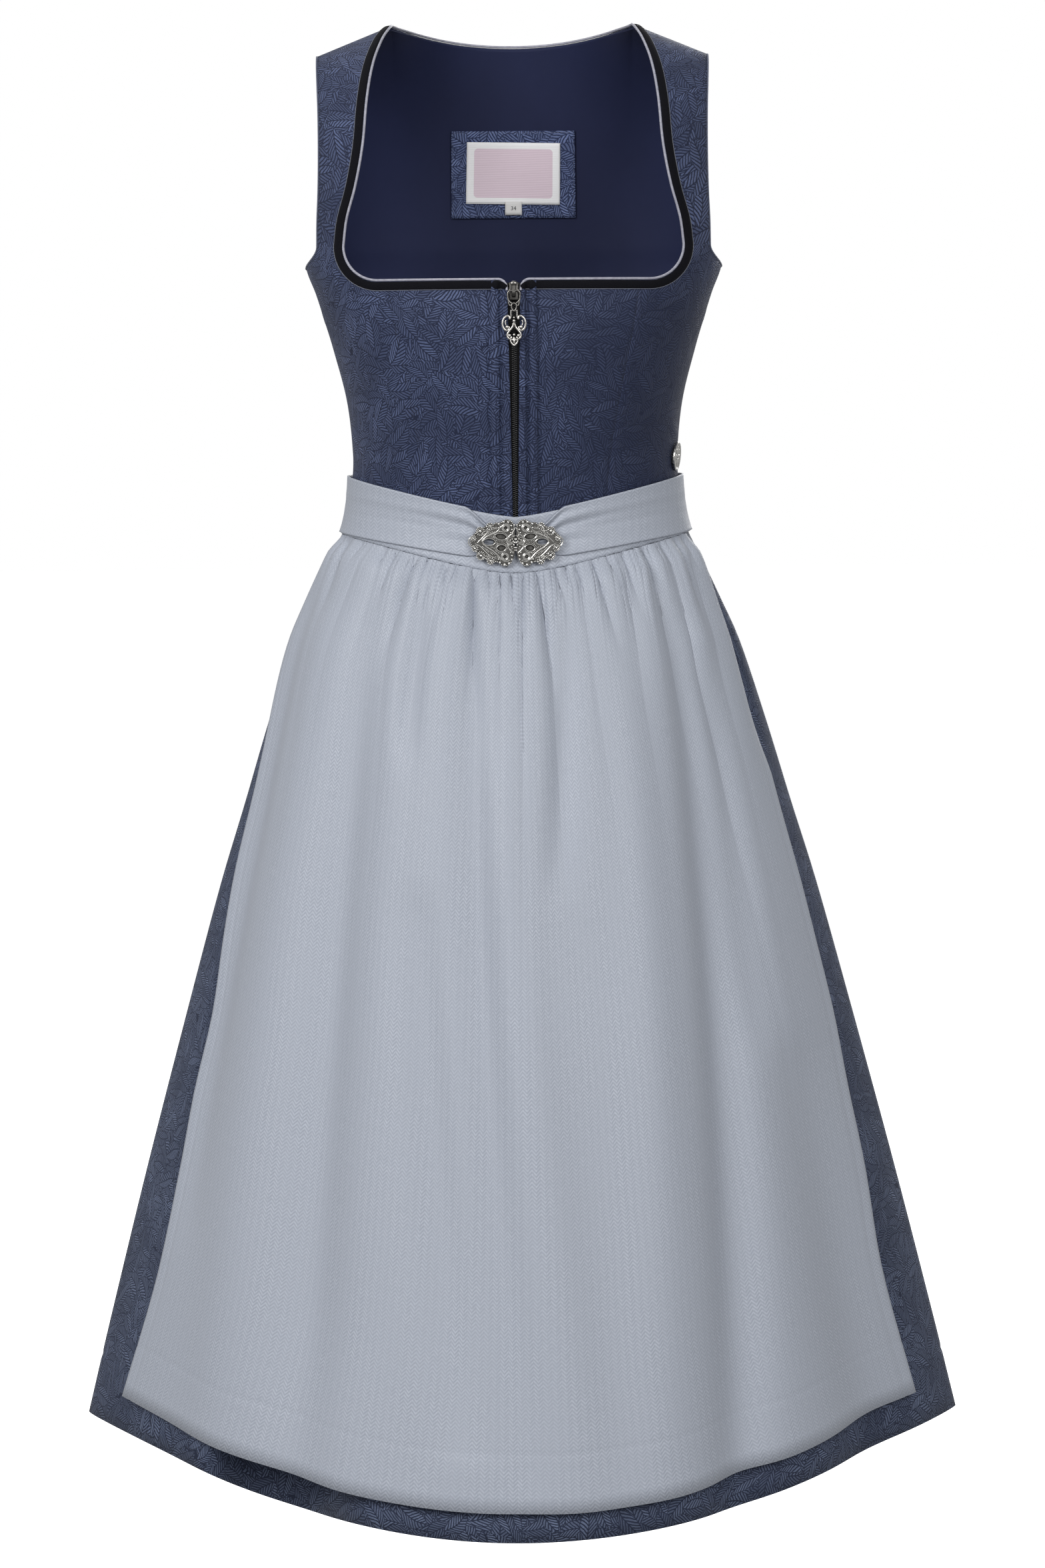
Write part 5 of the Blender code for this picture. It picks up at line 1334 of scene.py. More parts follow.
def skirt_rows(side, columns):
    """Rows of the skirt from its hem up to the waist seam."""
    girth = plan_curve(round(HEM_Z, 5), side)[3]
    print_start = 0.0 if side == FRONT else BACK_PRINT_START
    rows = []
    for reach in reversed(SKIRT_REACHES):
        row = []
        for k in range(columns + 1):
            share = (-1.0 + 2.0 * k / columns) * -side
            out = skirt_fold(share, reach, side) + hem_crease(reach, SKIRT_LENGTH)
            fall = 0.0
            if side == FRONT:
                away = (share - HEM_GAP_PLACE) / HEM_GAP_WIDTH
                starts = soft_step((reach - HEM_GAP_STARTS) / HEM_GAP_RUN)
                fall = HEM_FALLS_BACK * starts * math.exp(-abs(away) ** 3)
            else:
                pressed = mix(0.25, 1.0, soft_step(reach / GATHER_PRESSED))
                out += gathers(share, reach, BACK_GATHERS, BACK_GATHERS_BROAD) * pressed
            point = skirt_point(share, reach, side) + skirt_out(share, reach, side) * out
            if side == FRONT:
                point.y += fall
                point.z += HEM_SAG * (out * reach**4 - fall)
            row.append((point, (share * girth + print_start, -SKIRT_LENGTH * reach)))
        rows.append(row)
    return rows


cotton_reverse = make_weave("cotton_reverse", (0.036, 0.046, 0.090), 0.7, 0.1, cloudy=0.2)
for name, side, columns, node, top_width, low_width in (
        ("skirt_front_cloth", FRONT, 150, "skirt_front", 0.46, 0.86),
        ("skirt_back_cloth", BACK, 460, "skirt_back", 0.56, 0.90)):
    piece, _ = cloth_piece(name, [skirt_rows(side, columns)], 0.0, COTTON, skirt_cotton_painted_light, cotton_reverse,
                           "leaf_cotton", node)


# Apron
# A rectangle of silver-blue herringbone cloth, gathered into its band, with narrow side hems and a deep
# hem at its foot. It lies over the front of the skirt and follows its folds.

APRON_LENGTH, APRON_HALF_FLAT, APRON_CLOTH = 0.640, 0.375, 0.0010
APRON_LIFT_TOP, APRON_PUFF, APRON_CLEAR = 0.0020, 0.0048, -0.0004
APRON_HEM_GAP, APRON_CORNER_GAP, APRON_HEM_FOLD, SIDE_HEM = 0.0210, 0.0070, 0.040, 0.011
BAND_LOW_Z, BAND_LOW_DIP, BAND_ROUND = -0.3690, 0.0290, 0.11
APRON_COLUMNS, APRON_CROWDING, HEM_STRIP, PUFF_RUN = 600, 0.35, 0.006, 0.022
APRON_GATHERS, APRON_GATHERS_BROAD = 43, 7.3
CORNER_LIFT, CORNER_STARTS, CORNER_RUN = 0.006, 0.80, 0.20
TUCK_SPREAD, TUCK_POWER = 1.6, 1.4
ApronEdge = namedtuple("ApronEdge", "z right left")
APRON_EDGE = table(ApronEdge, [
    (-0.3470, 0.992, 0.975), (-0.4100, 0.990, 0.940), (-0.4500, 0.983, 0.924), (-0.5200, 0.960, 0.925),
    (-0.6000, 0.943, 0.920), (-0.6600, 0.925, 0.917), (-0.7200, 0.905, 0.915), (-0.7800, 0.900, 0.905),
    (-0.8400, 0.889, 0.900), (-0.9200, 0.884, 0.886), (-1.0230, 0.908, 0.898),
])
Tuck = namedtuple("Tuck", "place run length depth width")
APRON_TUCKS = table(Tuck, [
    (-0.94, 0.03, 0.060, 0.0032, 0.0126),
    (-0.88, 0.08, 0.095, 0.0058, 0.0162),
    (-0.76, 0.00, 0.040, 0.0032, 0.0126),
    (-0.62, 0.02, 0.032, 0.0038, 0.0117),
    (-0.55, -0.02, 0.075, 0.0049, 0.0126),
    (-0.45, -0.04, 0.150, 0.0061, 0.0153),
    (-0.4, 0.01, 0.030, 0.0035, 0.0108),
    (-0.31, 0.02, 0.042, 0.0043, 0.0117),
    (-0.26, 0.00, 0.030, 0.0035, 0.0108),
    (-0.185, 0.06, 0.200, 0.0064, 0.0135),
    (-0.125, 0.03, 0.040, 0.0043, 0.0108),
    (-0.07, 0.00, 0.026, 0.0032, 0.0099),
    (-0.02, 0.01, 0.055, 0.0043, 0.0108),
    (0.035, -0.01, 0.080, 0.0052, 0.0117),
    (0.1, 0.06, 0.180, 0.0064, 0.0135),
    (0.18, 0.05, 0.060, 0.0046, 0.0117),
    (0.235, 0.00, 0.028, 0.0035, 0.0108),
    (0.285, 0.04, 0.050, 0.0043, 0.0117),
    (0.365, 0.06, 0.120, 0.0058, 0.0135),
    (0.44, 0.02, 0.034, 0.0035, 0.0108),
    (0.52, 0.03, 0.085, 0.0052, 0.0126),
    (0.63, 0.03, 0.090, 0.0052, 0.0135),
    (0.74, 0.01, 0.045, 0.0038, 0.0126),
    (0.85, 0.00, 0.120, 0.0058, 0.0162),
    (0.93, -0.02, 0.050, 0.0032, 0.0126),
])
CHEVRON_WIDTH, CHEVRON_PITCH, CHEVRON_SLANT = 0.0070, 0.0027, 0.95
APRON_DARK, APRON_LIGHT = (0.290, 0.316, 0.372), (0.438, 0.468, 0.534)
APRON_SEAM_DRAW, SIDE_SEAM_DRAW, APRON_SEAM_REACH = 0.0002, 0.0004, 0.0020


def make_herringbone():
    """Silver-blue cloth whose twill turns back and forth in upright columns, with a soft silky shine that is
    partly painted: long soft streaks of painted sheen, and a lighter half in each column.
    """
    finish = Finish("apron_herringbone", APRON_LIGHT, 0.45, sheen=0.12, specular=0.3)
    place = finish.on_cloth()
    u, v, _ = finish.parts(place)
    column = finish.maths("DIVIDE", u, CHEVRON_WIDTH)
    across = finish.maths("FRACT", column)
    fall = finish.maths("ABSOLUTE", finish.minus(across, 0.5))
    raised = finish.times(fall, CHEVRON_WIDTH * CHEVRON_SLANT)
    phase = finish.times(finish.plus(v, raised), 2.0 * math.pi / CHEVRON_PITCH)
    rib = finish.ramp(finish.maths("SINE", phase), -0.7, 0.7)
    # One half of each column is painted lighter: painted sheen where the twill catches the light.
    half = finish.ramp(across, 0.48, 0.52)
    stretch = finish.vector("MULTIPLY", place, (1.0, 0.18, 1.0))
    broken = finish.noise(stretch, 900.0, 2.0)
    # Long soft streaks along the cloth lighten and darken the twill: painted sheen.
    painted_sheen = finish.noise(stretch, 60.0, 3.0)
    shown = finish.times(rib, finish.ramp(broken, 0.35, 0.65, 0.35, 0.75))
    shown = finish.plus(shown, finish.times(half, 0.10))
    shown = finish.times(shown, finish.ramp(painted_sheen, 0.34, 0.68, 0.55, 1.0))
    shown = finish.plus(shown, finish.ramp(painted_sheen, 0.34, 0.68, 0.30, 0.16))
    finish.use(colour=finish.tint(shown, (*APRON_DARK, 1.0), (*APRON_LIGHT, 1.0)),
               roughness=finish.ramp(shown, 0.0, 1.0, 0.55, 0.36))
    finish.relief(finish.plus(rib, finish.times(broken, 0.5)), 0.00007)
    return finish.material


def apron_share(place, level):
    """Share of the half girth at a place across the apron, whose sides waver a little."""
    x, _, shares, _ = plan_curve(round(level, 5), FRONT)
    edge = read_table(APRON_EDGE, "left" if place > 0.0 else "right", level)
    return place * float(np.interp(edge * x[-1], x, shares))


def apron_rows():
    """Rows of the apron from its hem up to its band."""
    side = 1.0 - SIDE_HEM / APRON_HALF_FLAT
    even = steps((-1.0, APRON_COLUMNS), (1.0, 0))
    crowded = [t * (1.0 + APRON_CROWDING * t * t) / (1.0 + APRON_CROWDING) for t in even]
    middle = [(side - HEM_STRIP) * place for place in crowded]
    across = steps((-1.0, 4), (-side - HEM_STRIP, 4), (middle[0], 0)) + middle[1:-1]
    across += steps((middle[-1], 4), (side + HEM_STRIP, 4), (1.0, 0))
    rows = []
    for row_reach in reversed(APRON_REACHES):
        level = mix(WAIST_Z, HEM_Z, row_reach)
        row = []
        for place in across:
            share = apron_share(place, level)
            waist, hem = waist_z(share, FRONT), hem_z(share, FRONT)
            band_z = BAND_LOW_Z - BAND_LOW_DIP * front_dip(math.hypot(share, BAND_ROUND))
            top = (waist - band_z) / (waist - hem)
            low = 1.0 - (APRON_HEM_GAP + APRON_CORNER_GAP * share * share) / (waist - hem)
            reach = mix(top, low, row_reach)
            stands = APRON_PUFF * soft_step(row_reach / PUFF_RUN)
            stands += gathers(place, row_reach, APRON_GATHERS, APRON_GATHERS_BROAD)
            stands += tucked(place, row_reach) + hem_dips(place, row_reach) + corner_lift(place, row_reach)
            out = skirt_fold(share, reach, FRONT) + max(stands, APRON_CLEAR)
            point = skirt_point(share, reach, FRONT) + skirt_out(share, reach, FRONT) * out
            row.append((point, (place * APRON_HALF_FLAT, -APRON_LENGTH * row_reach)))
        rows.append(row)
    return rows


def tucked(place, reach):
    """Sharp tucks below the band, which widen and die out down the apron."""
    out = 0.0
    for tuck in APRON_TUCKS:
        span = reach / tuck.length
        if span < 1.0:
            away = abs(place - tuck.place - tuck.run * span) / (tuck.width * (1.0 + TUCK_SPREAD * span))
            out -= tuck.depth * (1.0 - soft_step(span)) * math.exp(-(away**TUCK_POWER))
    return out


def corner_lift(place, reach):
    """The hem stands away from the skirt where the skirt falls back below it."""
    away = (place - HEM_GAP_PLACE) / HEM_GAP_WIDTH
    return CORNER_LIFT * soft_step((reach - CORNER_STARTS) / CORNER_RUN) * math.exp(-away * away)


def hem_dips(place, reach):
    """The apron is drawn in along its hem's seam and beside its narrow side hems."""
    low = ((1.0 - reach) * APRON_LENGTH - APRON_HEM_FOLD) / APRON_SEAM_REACH
    side = ((1.0 - abs(place)) * APRON_HALF_FLAT - SIDE_HEM) / APRON_SEAM_REACH
    return -APRON_SEAM_DRAW * math.exp(-low * low) - SIDE_SEAM_DRAW * math.exp(-side * side)


APRON_REACHES = [0.90 * (k / 56) ** 1.7 for k in range(56)]
APRON_REACHES += steps((0.90, 2), (0.926, 8), (0.948, 3), (1.0, 0))
herringbone = make_herringbone()
apron, _ = cloth_piece("apron_cloth", [apron_rows()], APRON_LIFT_TOP, APRON_CLOTH, herringbone, None,
                       "apron_cloth", "apron")


# Apron band and ties
# The band is a straight strip that holds the gathers. The ties are sewn to its ends, pass round the waist
# and are drawn together at the clasp, where they crease and their upper edges roll over.

BAND_TOP_Z, BAND_LIFT, BAND_CLOTH = -0.3285, 0.0023, 0.0012
BAND_END_SHARE, BAND_OVERLAP, BAND_FLAT = 0.985, 0.0002, (0.345, 0.050)
BAND_ROWS, BAND_COLUMNS = 18, 170
TIE_TOP_Z, TIE_TOP_DIP = -0.3265, 0.0258
TIE_LOW_Z, TIE_LOW_DIP = -0.3684, 0.0186
TIE_END_X, TIE_PINCH_X, TIE_PINCH_TOP, TIE_PINCH_LOW = 0.0150, 0.0360, 0.0120, 0.0045
TIE_LIFT, TIE_CLOTH, TIE_WIDTH = 0.0040, 0.0014, 0.0415
TIE_ROWS, TIE_FRONT_COLUMNS, TIE_BACK_COLUMNS, TIE_CROWDING = 34, 110, 90, 1.25
TieCrease = namedtuple("TieCrease", "start end length depth width")
TIE_CREASES = table(TieCrease, [
    (0.86, 0.92, 0.030, -0.0021, 0.045),
    (0.99, 1.00, 0.034, 0.0016, 0.070),
    (0.70, 0.88, 0.062, 0.0011, 0.070),
    (0.60, 0.68, 0.078, -0.0011, 0.055),
    (0.46, 0.47, 0.066, 0.0010, 0.060),
    (0.34, 0.24, 0.052, -0.0011, 0.050),
    (0.18, 0.06, 0.045, 0.0010, 0.060),
    (0.05, -0.04, 0.030, -0.0008, 0.050),
    (0.52, 0.30, 0.190, -0.0005, 0.060),
    (0.80, 0.62, 0.240, 0.0006, 0.080),
])


def band_rows():
    """Rows of the apron's band."""
    rows = []
    for t in steps((0.0, BAND_ROWS), (1.0, 0)):
        row = []
        for share in steps((-BAND_END_SHARE, BAND_COLUMNS), (BAND_END_SHARE, 0)):
            low = BAND_LOW_Z - BAND_LOW_DIP * front_dip(math.hypot(share, BAND_ROUND)) + BAND_OVERLAP
            top = BAND_TOP_Z - TIE_TOP_DIP * front_dip(share)
            place, flat = form_point(share, mix(low, top, t), FRONT)
            row.append((place, (flat[0], t * (top - low))))
        rows.append(row)
    return rows


def tie_rows():
    """Rows of the left tie, from the clasp round the side to the centre back."""
    first = share_at(TIE_END_X, WAIST_Z - WAIST_DIP, FRONT)
    spread = [(k / TIE_FRONT_COLUMNS) ** TIE_CROWDING for k in range(TIE_FRONT_COLUMNS + 1)]
    front = [first + (1.0 - first) * share for share in spread]
    rows = []
    for t in steps((0.0, TIE_ROWS), (1.0, 0)):
        row = []
        for share in front:
            x = form_point(share, WAIST_Z - WAIST_DIP, FRONT)[0].x
            pinch = 1.0 - soft_step((x - TIE_END_X) / (TIE_PINCH_X - TIE_END_X))
            low = TIE_LOW_Z - TIE_LOW_DIP * front_dip(share) + TIE_PINCH_LOW * pinch
            top = TIE_TOP_Z - TIE_TOP_DIP * front_dip(share) - TIE_PINCH_TOP * pinch
            place, flat = form_point(share, mix(low, top, t), FRONT)
            row.append((place, (flat[0], t * TIE_WIDTH)))
        start = row[-1][1][0]
        for share in steps((1.0, TIE_BACK_COLUMNS), (0.0, 0))[1:]:
            place, flat = form_point(share, mix(TIE_LOW_Z, TIE_TOP_Z, t), BACK)
            girth = plan_curve(level_of(share, WAIST_Z, BACK), BACK)[3]
            row.append((place, (start + girth * (1.0 - share), t * TIE_WIDTH)))
        rows.append(row)
    return rows


def tie_crease(point, u, v):
    """Creases that spread from the clasp and die out along the tie."""
    along, up = abs(u) - TIE_END_X, v / TIE_WIDTH
    out = TIE_LIFT
    for crease in TIE_CREASES:
        share = along / crease.length
        if 0.0 <= share < 1.0:
            away = (up - mix(crease.start, crease.end, share)) / crease.width
            out += crease.depth * (1.0 - soft_step(share)) * math.exp(-away * away)
    return out


band, _ = cloth_piece("band_cloth", [band_rows()], BAND_LIFT, BAND_CLOTH, herringbone, None,
                      "apron_cloth", "apron_band")

left_tie = tie_rows()
for hand, word in HANDS:
    piece, _ = cloth_piece(f"tie_cloth_{word}", [on_hand(left_tie, hand)], tie_crease, TIE_CLOTH, herringbone,
                           None, "apron_cloth", f"tie_{word}")


# Clasp
# Two pierced castings of antique silver that hook together at the centre front. Each is a plate with
# eyelets and pointed openings, edged all over with wires and rows of small beads. The hook's tongue and the
# discs under the clusters lie behind the plate in dark silver; the discs are painted shade, dark sheets that
# make the openings read as shadowed, and the tongue, a real part, darkens the middle openings the same way.

CLASP_Z, CLASP_TILT_REACH, CLASP_GAP = -0.3729, 0.015, 0.0002
CLASP_TURN = math.radians(2.5)
CLASP_THICK, CLASP_LIFT, CLASP_UNDER = 0.0016, 0.0014, 0.0048
RIM_PITCH, RIM_BEAD = 0.00130, 0.00056
ROW_PITCH, ROW_BEAD = 0.00105, 0.00044
RING_WIRE, RIM_WIRE = 0.00026, 0.00036
BEAD_OUT, WIRE_OUT, FLOWER_OUT = -0.0003, -0.0002, -0.0004
CLUSTER_MIDDLE, CLUSTER_FLAT, RING_INSIDE = 0.42, 0.6, 1.5
EYELET_RINGS = ((0.0025, 0.00048), (0.00165, 0.00038))
RIM_GROW, OPENING_GROW, OPENING_PITCH = 0.0001, 0.0011, 0.00112
RIBBON_WIRE, BESIDE_WIRE, LOOP_WIRE, ARCH_WIRE = 0.00042, 0.00027, 0.00042, 0.00040
BESIDE_X, BESIDE_Z = 0.0006, 0.0007
DISC_THICK, DISC_BACK, TONGUE_THICK, TONGUE_BACK = 0.0012, 0.0007, 0.0008, 0.0006
Opening = namedtuple("Opening", "x z half_x half_z turn bead")
CLASP_RIM = [(0.0008, 0.0105), (0.0014, 0.0134), (0.0032, 0.0156), (0.0060, 0.0165), (0.0086, 0.0154),
             (0.0110, 0.0141), (0.0137, 0.0142), (0.0162, 0.0127), (0.0190, 0.0121), (0.0216, 0.0112),
             (0.0243, 0.0101), (0.0265, 0.0085), (0.0285, 0.0069), (0.0302, 0.0052), (0.0315, 0.0032),
             (0.0320, 0.0005), (0.0311, -0.0016), (0.0294, -0.0031), (0.0287, -0.0053), (0.0267, -0.0073),
             (0.0241, -0.0091), (0.0209, -0.0115), (0.0171, -0.0128), (0.0145, -0.0132), (0.0117, -0.0137),
             (0.0099, -0.0156), (0.0079, -0.0166), (0.0052, -0.0158), (0.0030, -0.0134), (0.0017, -0.0104)]
OPENINGS = table(Opening, [
    (0.0103, 0.0046, 0.0044, 0.0023, 8.0, 0.00042),
    (0.0188, 0.0008, 0.0045, 0.0025, 0.0, 0.0),
    (0.0100, -0.0036, 0.0035, 0.0024, -6.0, 0.00042),
])
EYELETS = [(0.0069, 0.0107), (0.0076, -0.0098)]
BIG_BEADS = table(Bead, [
    (0.0119, 0.0135, 0.00100), (0.0084, 0.0150, 0.00120), (0.0051, 0.0148, 0.00115),
    (0.0028, 0.0124, 0.00095), (0.0024, 0.0096, 0.00090), (0.0032, 0.0074, 0.00075),
    (0.0112, -0.0139, 0.00110), (0.0078, -0.0156, 0.00125), (0.0046, -0.0146, 0.00115),
    (0.0026, -0.0118, 0.00095), (0.0024, -0.0092, 0.00090), (0.0034, -0.0068, 0.00070),
    (0.0122, -0.0116, 0.00080), (0.0120, 0.0108, 0.00075),
])
Cluster = namedtuple("Cluster", "x z reach radius count")
Tongue = namedtuple("Tongue", "x z width height")
CLUSTERS = table(Cluster, [
    (0.0181, 0.0120, 0.0023, 0.00070, 9),
    (0.0250, 0.0084, 0.0029, 0.00060, 14),
    (0.0301, 0.0034, 0.0019, 0.00050, 10),
    (0.0290, -0.0038, 0.0022, 0.00052, 11),
    (0.0248, -0.0091, 0.0029, 0.00056, 14),
    (0.0178, -0.0129, 0.0023, 0.00070, 9),
    (0.0202, 0.0086, 0.0012, 0.00048, 6),
    (0.0200, -0.0098, 0.0012, 0.00048, 6),
])
RIBBONS = [
    [(0.0036, 0.0126), (0.0066, 0.0137), (0.0100, 0.0118), (0.0128, 0.0086), (0.0166, 0.0066),
     (0.0204, 0.0048), (0.0234, 0.0022)],
    [(0.0130, 0.0112), (0.0158, 0.0104), (0.0186, 0.0086), (0.0212, 0.0064), (0.0240, 0.0034),
     (0.0266, 0.0010)],
    [(0.0036, -0.0124), (0.0070, -0.0132), (0.0106, -0.0112), (0.0132, -0.0082), (0.0162, -0.0056),
     (0.0200, -0.0032), (0.0234, -0.0004)],
    [(0.0136, -0.0110), (0.0166, -0.0102), (0.0196, -0.0080), (0.0224, -0.0052), (0.0252, -0.0024),
     (0.0284, -0.0010)],
    [(0.0016, 0.0072), (0.0040, 0.0052), (0.0058, 0.0020), (0.0030, 0.0006), (0.0006, 0.0002)],
    [(0.0016, -0.0070), (0.0036, -0.0052), (0.0052, -0.0022), (0.0030, -0.0008), (0.0006, -0.0004)],
]
BEAD_ROWS = [
    [(0.0150, 0.0080), (0.0184, 0.0062), (0.0212, 0.0046), (0.0238, 0.0028)],
    [(0.0146, -0.0080), (0.0180, -0.0062), (0.0208, -0.0044), (0.0236, -0.0026)],
    [(0.0166, 0.0082), (0.0196, 0.0066), (0.0224, 0.0040)],
    [(0.0164, -0.0082), (0.0192, -0.0064), (0.0222, -0.0038)],
    [(0.0104, 0.0128), (0.0118, 0.0116), (0.0138, 0.0098)],
    [(0.0108, -0.0122), (0.0122, -0.0106), (0.0142, -0.0092)],
    [(0.0136, 0.0016), (0.0128, -0.0008), (0.0142, -0.0024)],
    [(0.0052, 0.0022), (0.0064, 0.0006), (0.0050, -0.0012)],
    [(0.0012, 0.0046), (0.0026, 0.0040), (0.0042, 0.0036)],
    [(0.0013, -0.0030), (0.0026, -0.0044), (0.0042, -0.0050)],
    [(0.0150, 0.0034), (0.0166, 0.0042), (0.0184, 0.0044)],
    [(0.0146, -0.0042), (0.0164, -0.0030), (0.0182, -0.0028)],
    [(0.0014, -0.0064), (0.0020, -0.0084)],
    [(0.0092, 0.0080), (0.0116, 0.0084), (0.0138, 0.0070)],
    [(0.0096, -0.0072), (0.0118, -0.0074), (0.0136, -0.0060)],
]
TONGUES = table(Tongue, [
    (0.0098, 0.0005, 0.0120, 0.0150), (0.0072, 0.0004, 0.0056, 0.0256),
])
END_LOOP = [(0.0300, 0.0046), (0.0328, 0.0034), (0.0336, 0.0008), (0.0322, -0.0020), (0.0300, -0.0030)]
ARCH_LINE = [(0.0, 0.0112), (0.0010, 0.0090), (0.0022, 0.0058), (0.0, 0.0050)]
FLOWER = table(Bead, [
    (0.0, 0.0026, 0.0010), (0.0014, 0.0012, 0.0008), (0.0022, 0.0028, 0.0007), (0.0036, 0.0020, 0.0007),
    (0.0010, -0.0014, 0.0008), (0.0026, -0.0028, 0.0007), (0.0004, 0.0004, 0.0010),
    (0.0002, -0.0034, 0.0008), (0.0003, -0.0052, 0.0007), (0.0008, 0.0128, 0.0009),
])


def along_line(points, pitch, radius):
    """Beads at even spacing along a line in a casting's plane."""
    line = [Vector((x, 0.0, z)) for x, z in points]
    beads, walked, following = [], 0.0, 0.0
    for a, b in zip(line, line[1:]):
        run = (b - a).length
        while walked + run >= following:
            spot = a.lerp(b, (following - walked) / run)
            beads.append(Bead(spot.x, spot.z, radius))
            following += pitch
        walked += run
    return beads


def ring(x, z, reach, count=8):
    """Points round a spot in a casting's plane."""
    angles = [2.0 * math.pi * k / count for k in range(count)]
    return [(x + reach * math.cos(angle), z + reach * math.sin(angle)) for angle in angles]


def round_opening(opening, grow, count):
    """Points round a pointed opening."""
    turn = math.radians(opening.turn)
    points = []
    for k in range(count):
        angle = 2.0 * math.pi * k / count
        a = (opening.half_x + grow) * math.cos(angle)
        b = (opening.half_z + grow) * math.sin(angle) * abs(math.sin(angle)) ** 0.25
        points.append((opening.x + a * math.cos(turn) - b * math.sin(turn),
                       opening.z + a * math.sin(turn) + b * math.cos(turn)))
    return points


def clasp_place(hand):
    """Front face of one half of the clasp."""
    front = form_point(0.0, CLASP_Z, FRONT)[0]
    above, below = [form_point(0.0, CLASP_Z + dz, FRONT)[0] for dz in (CLASP_TILT_REACH, -CLASP_TILT_REACH)]
    up = above - below
    lean = Matrix.Rotation(-math.atan2(up.y, up.z), 4, "X")
    out = CLASP_UNDER + CLASP_LIFT + CLASP_THICK
    place = Matrix.Translation((hand * CLASP_GAP, front.y - out, CLASP_Z)) @ lean
    return place @ Matrix.Rotation(hand * CLASP_TURN, 4, "Z")


for node in ("clasp_left", "clasp_right"):
    bpy.data.objects[node].material_slots[0].material = plate_silver

for hand, word in HANDS:
    place = clasp_place(hand)
    bm = bmesh.new()
    add_beads(bm, place, along_line(CLASP_RIM, RIM_PITCH, RIM_BEAD), hand)
    for cluster in CLUSTERS:
        x, z, reach, radius, count = cluster
        add_beads(bm, place, [Bead(*spot, radius) for spot in ring(x, z, reach, count)], hand, BEAD_OUT)
        inner = in_plane(ring(x, z, reach - RING_INSIDE * radius), hand, BEAD_OUT)
        add_wire(bm, inner, RING_WIRE, place, closed=True, rounds=1)
        add_beads(bm, place, [Bead(x, z, CLUSTER_MIDDLE * reach)], hand, flat=CLUSTER_FLAT)
    add_beads(bm, place, BIG_BEADS, hand, BEAD_OUT)
    for row in BEAD_ROWS:
        add_beads(bm, place, along_line(row, ROW_PITCH, ROW_BEAD), hand)
    for x, z in EYELETS:
        for reach, wire in EYELET_RINGS:
            add_wire(bm, in_plane(ring(x, z, reach), hand, WIRE_OUT), wire, place, closed=True, rounds=1)
    for opening in OPENINGS:
        rim = in_plane(round_opening(opening, RIM_GROW, 12), hand, WIRE_OUT)
        add_wire(bm, rim, RIM_WIRE, place, closed=True, rounds=1)
        if opening.bead:
            around = round_opening(opening, OPENING_GROW, 24)
            add_beads(bm, place, along_line(around + around[:1], OPENING_PITCH, opening.bead), hand)
    for points in RIBBONS:
        add_wire(bm, in_plane(points, hand), RIBBON_WIRE, place, rounds=1)
        beside = [(x + BESIDE_X, z - math.copysign(BESIDE_Z, z)) for x, z in points]
        add_wire(bm, in_plane(beside, hand), BESIDE_WIRE, place, rounds=1)
    add_wire(bm, in_plane(END_LOOP, hand), LOOP_WIRE, place, rounds=1)
    add_wire(bm, in_plane(ARCH_LINE, hand), ARCH_WIRE, place, rounds=1)
    add_beads(bm, place, FLOWER, hand, FLOWER_OUT)
    settle(make_piece(f"clasp_beadwork_{word}", bm, old_silver, weld=0.0), "old_silver")
    # Dark discs behind the clusters are painted shade in their openings; the hook's tongue also darkens the
    # middle.
    bm = bmesh.new()
    for cluster in CLUSTERS:
        spot = Matrix.Translation((hand * cluster.x, DISC_BACK, cluster.z))
        spot = place @ spot @ Matrix.Rotation(math.radians(90.0), 4, "X")
        bmesh.ops.create_cone(bm, cap_ends=True, segments=20, radius1=cluster.reach, radius2=cluster.reach,
                              depth=DISC_THICK, matrix=spot)
    for tongue in TONGUES:
        spot = Matrix.Translation((hand * tongue.x, CLASP_THICK + TONGUE_BACK, tongue.z))
        size = Matrix.Diagonal((tongue.width, TONGUE_THICK, tongue.height, 1.0))
        bmesh.ops.create_cube(bm, size=1.0, matrix=place @ spot @ size)
    settle(make_piece(f"clasp_tongue_and_shade_discs_{word}", bm, plate_silver, weld=0.0), "old_silver")


# Badge
# A small round metal disc with a raised rim, riveted flat to the left side of the waist. Its face has a
# simple rosette.

BADGE_SHARE, BADGE_Z, BADGE_LIFT, BADGE_THICK, PETALS = 0.845, -0.3130, 0.0014, 0.0011, 8
BADGE_PETAL_X, BADGE_PETAL_HALF = 0.0045, (0.0028, 0.0014, 0.0005)
BADGE_MIDDLE_HALF = (0.0016, 0.0016, 0.0009)
bpy.data.objects["waist_badge"].material_slots[0].material = old_silver
near = form_point(BADGE_SHARE, BADGE_Z, FRONT)[0]
beside = form_point(BADGE_SHARE + 0.02, BADGE_Z, FRONT)[0] - near
above = form_point(BADGE_SHARE, BADGE_Z + 0.006, FRONT)[0] - near
out = beside.cross(above).normalized()
face = Matrix.Translation(near + out * (BADGE_LIFT + BADGE_THICK))
face = face @ out.to_track_quat("Z", "Y").to_matrix().to_4x4()
bm = bmesh.new()
for k in range(PETALS):
    turn = Matrix.Rotation(2.0 * math.pi * k / PETALS, 4, "Z")
    add_ball(bm, face @ turn @ Matrix.Translation((BADGE_PETAL_X, 0.0, 0.0)), BADGE_PETAL_HALF, 3)
add_ball(bm, face, BADGE_MIDDLE_HALF, 3)
settle(make_piece("badge_rosette", bm, old_silver), "old_silver")


# Studio
# Plain pale floor, a large soft light from the front left, a weaker one from the right, and a camera at the
# height of the shoulders.

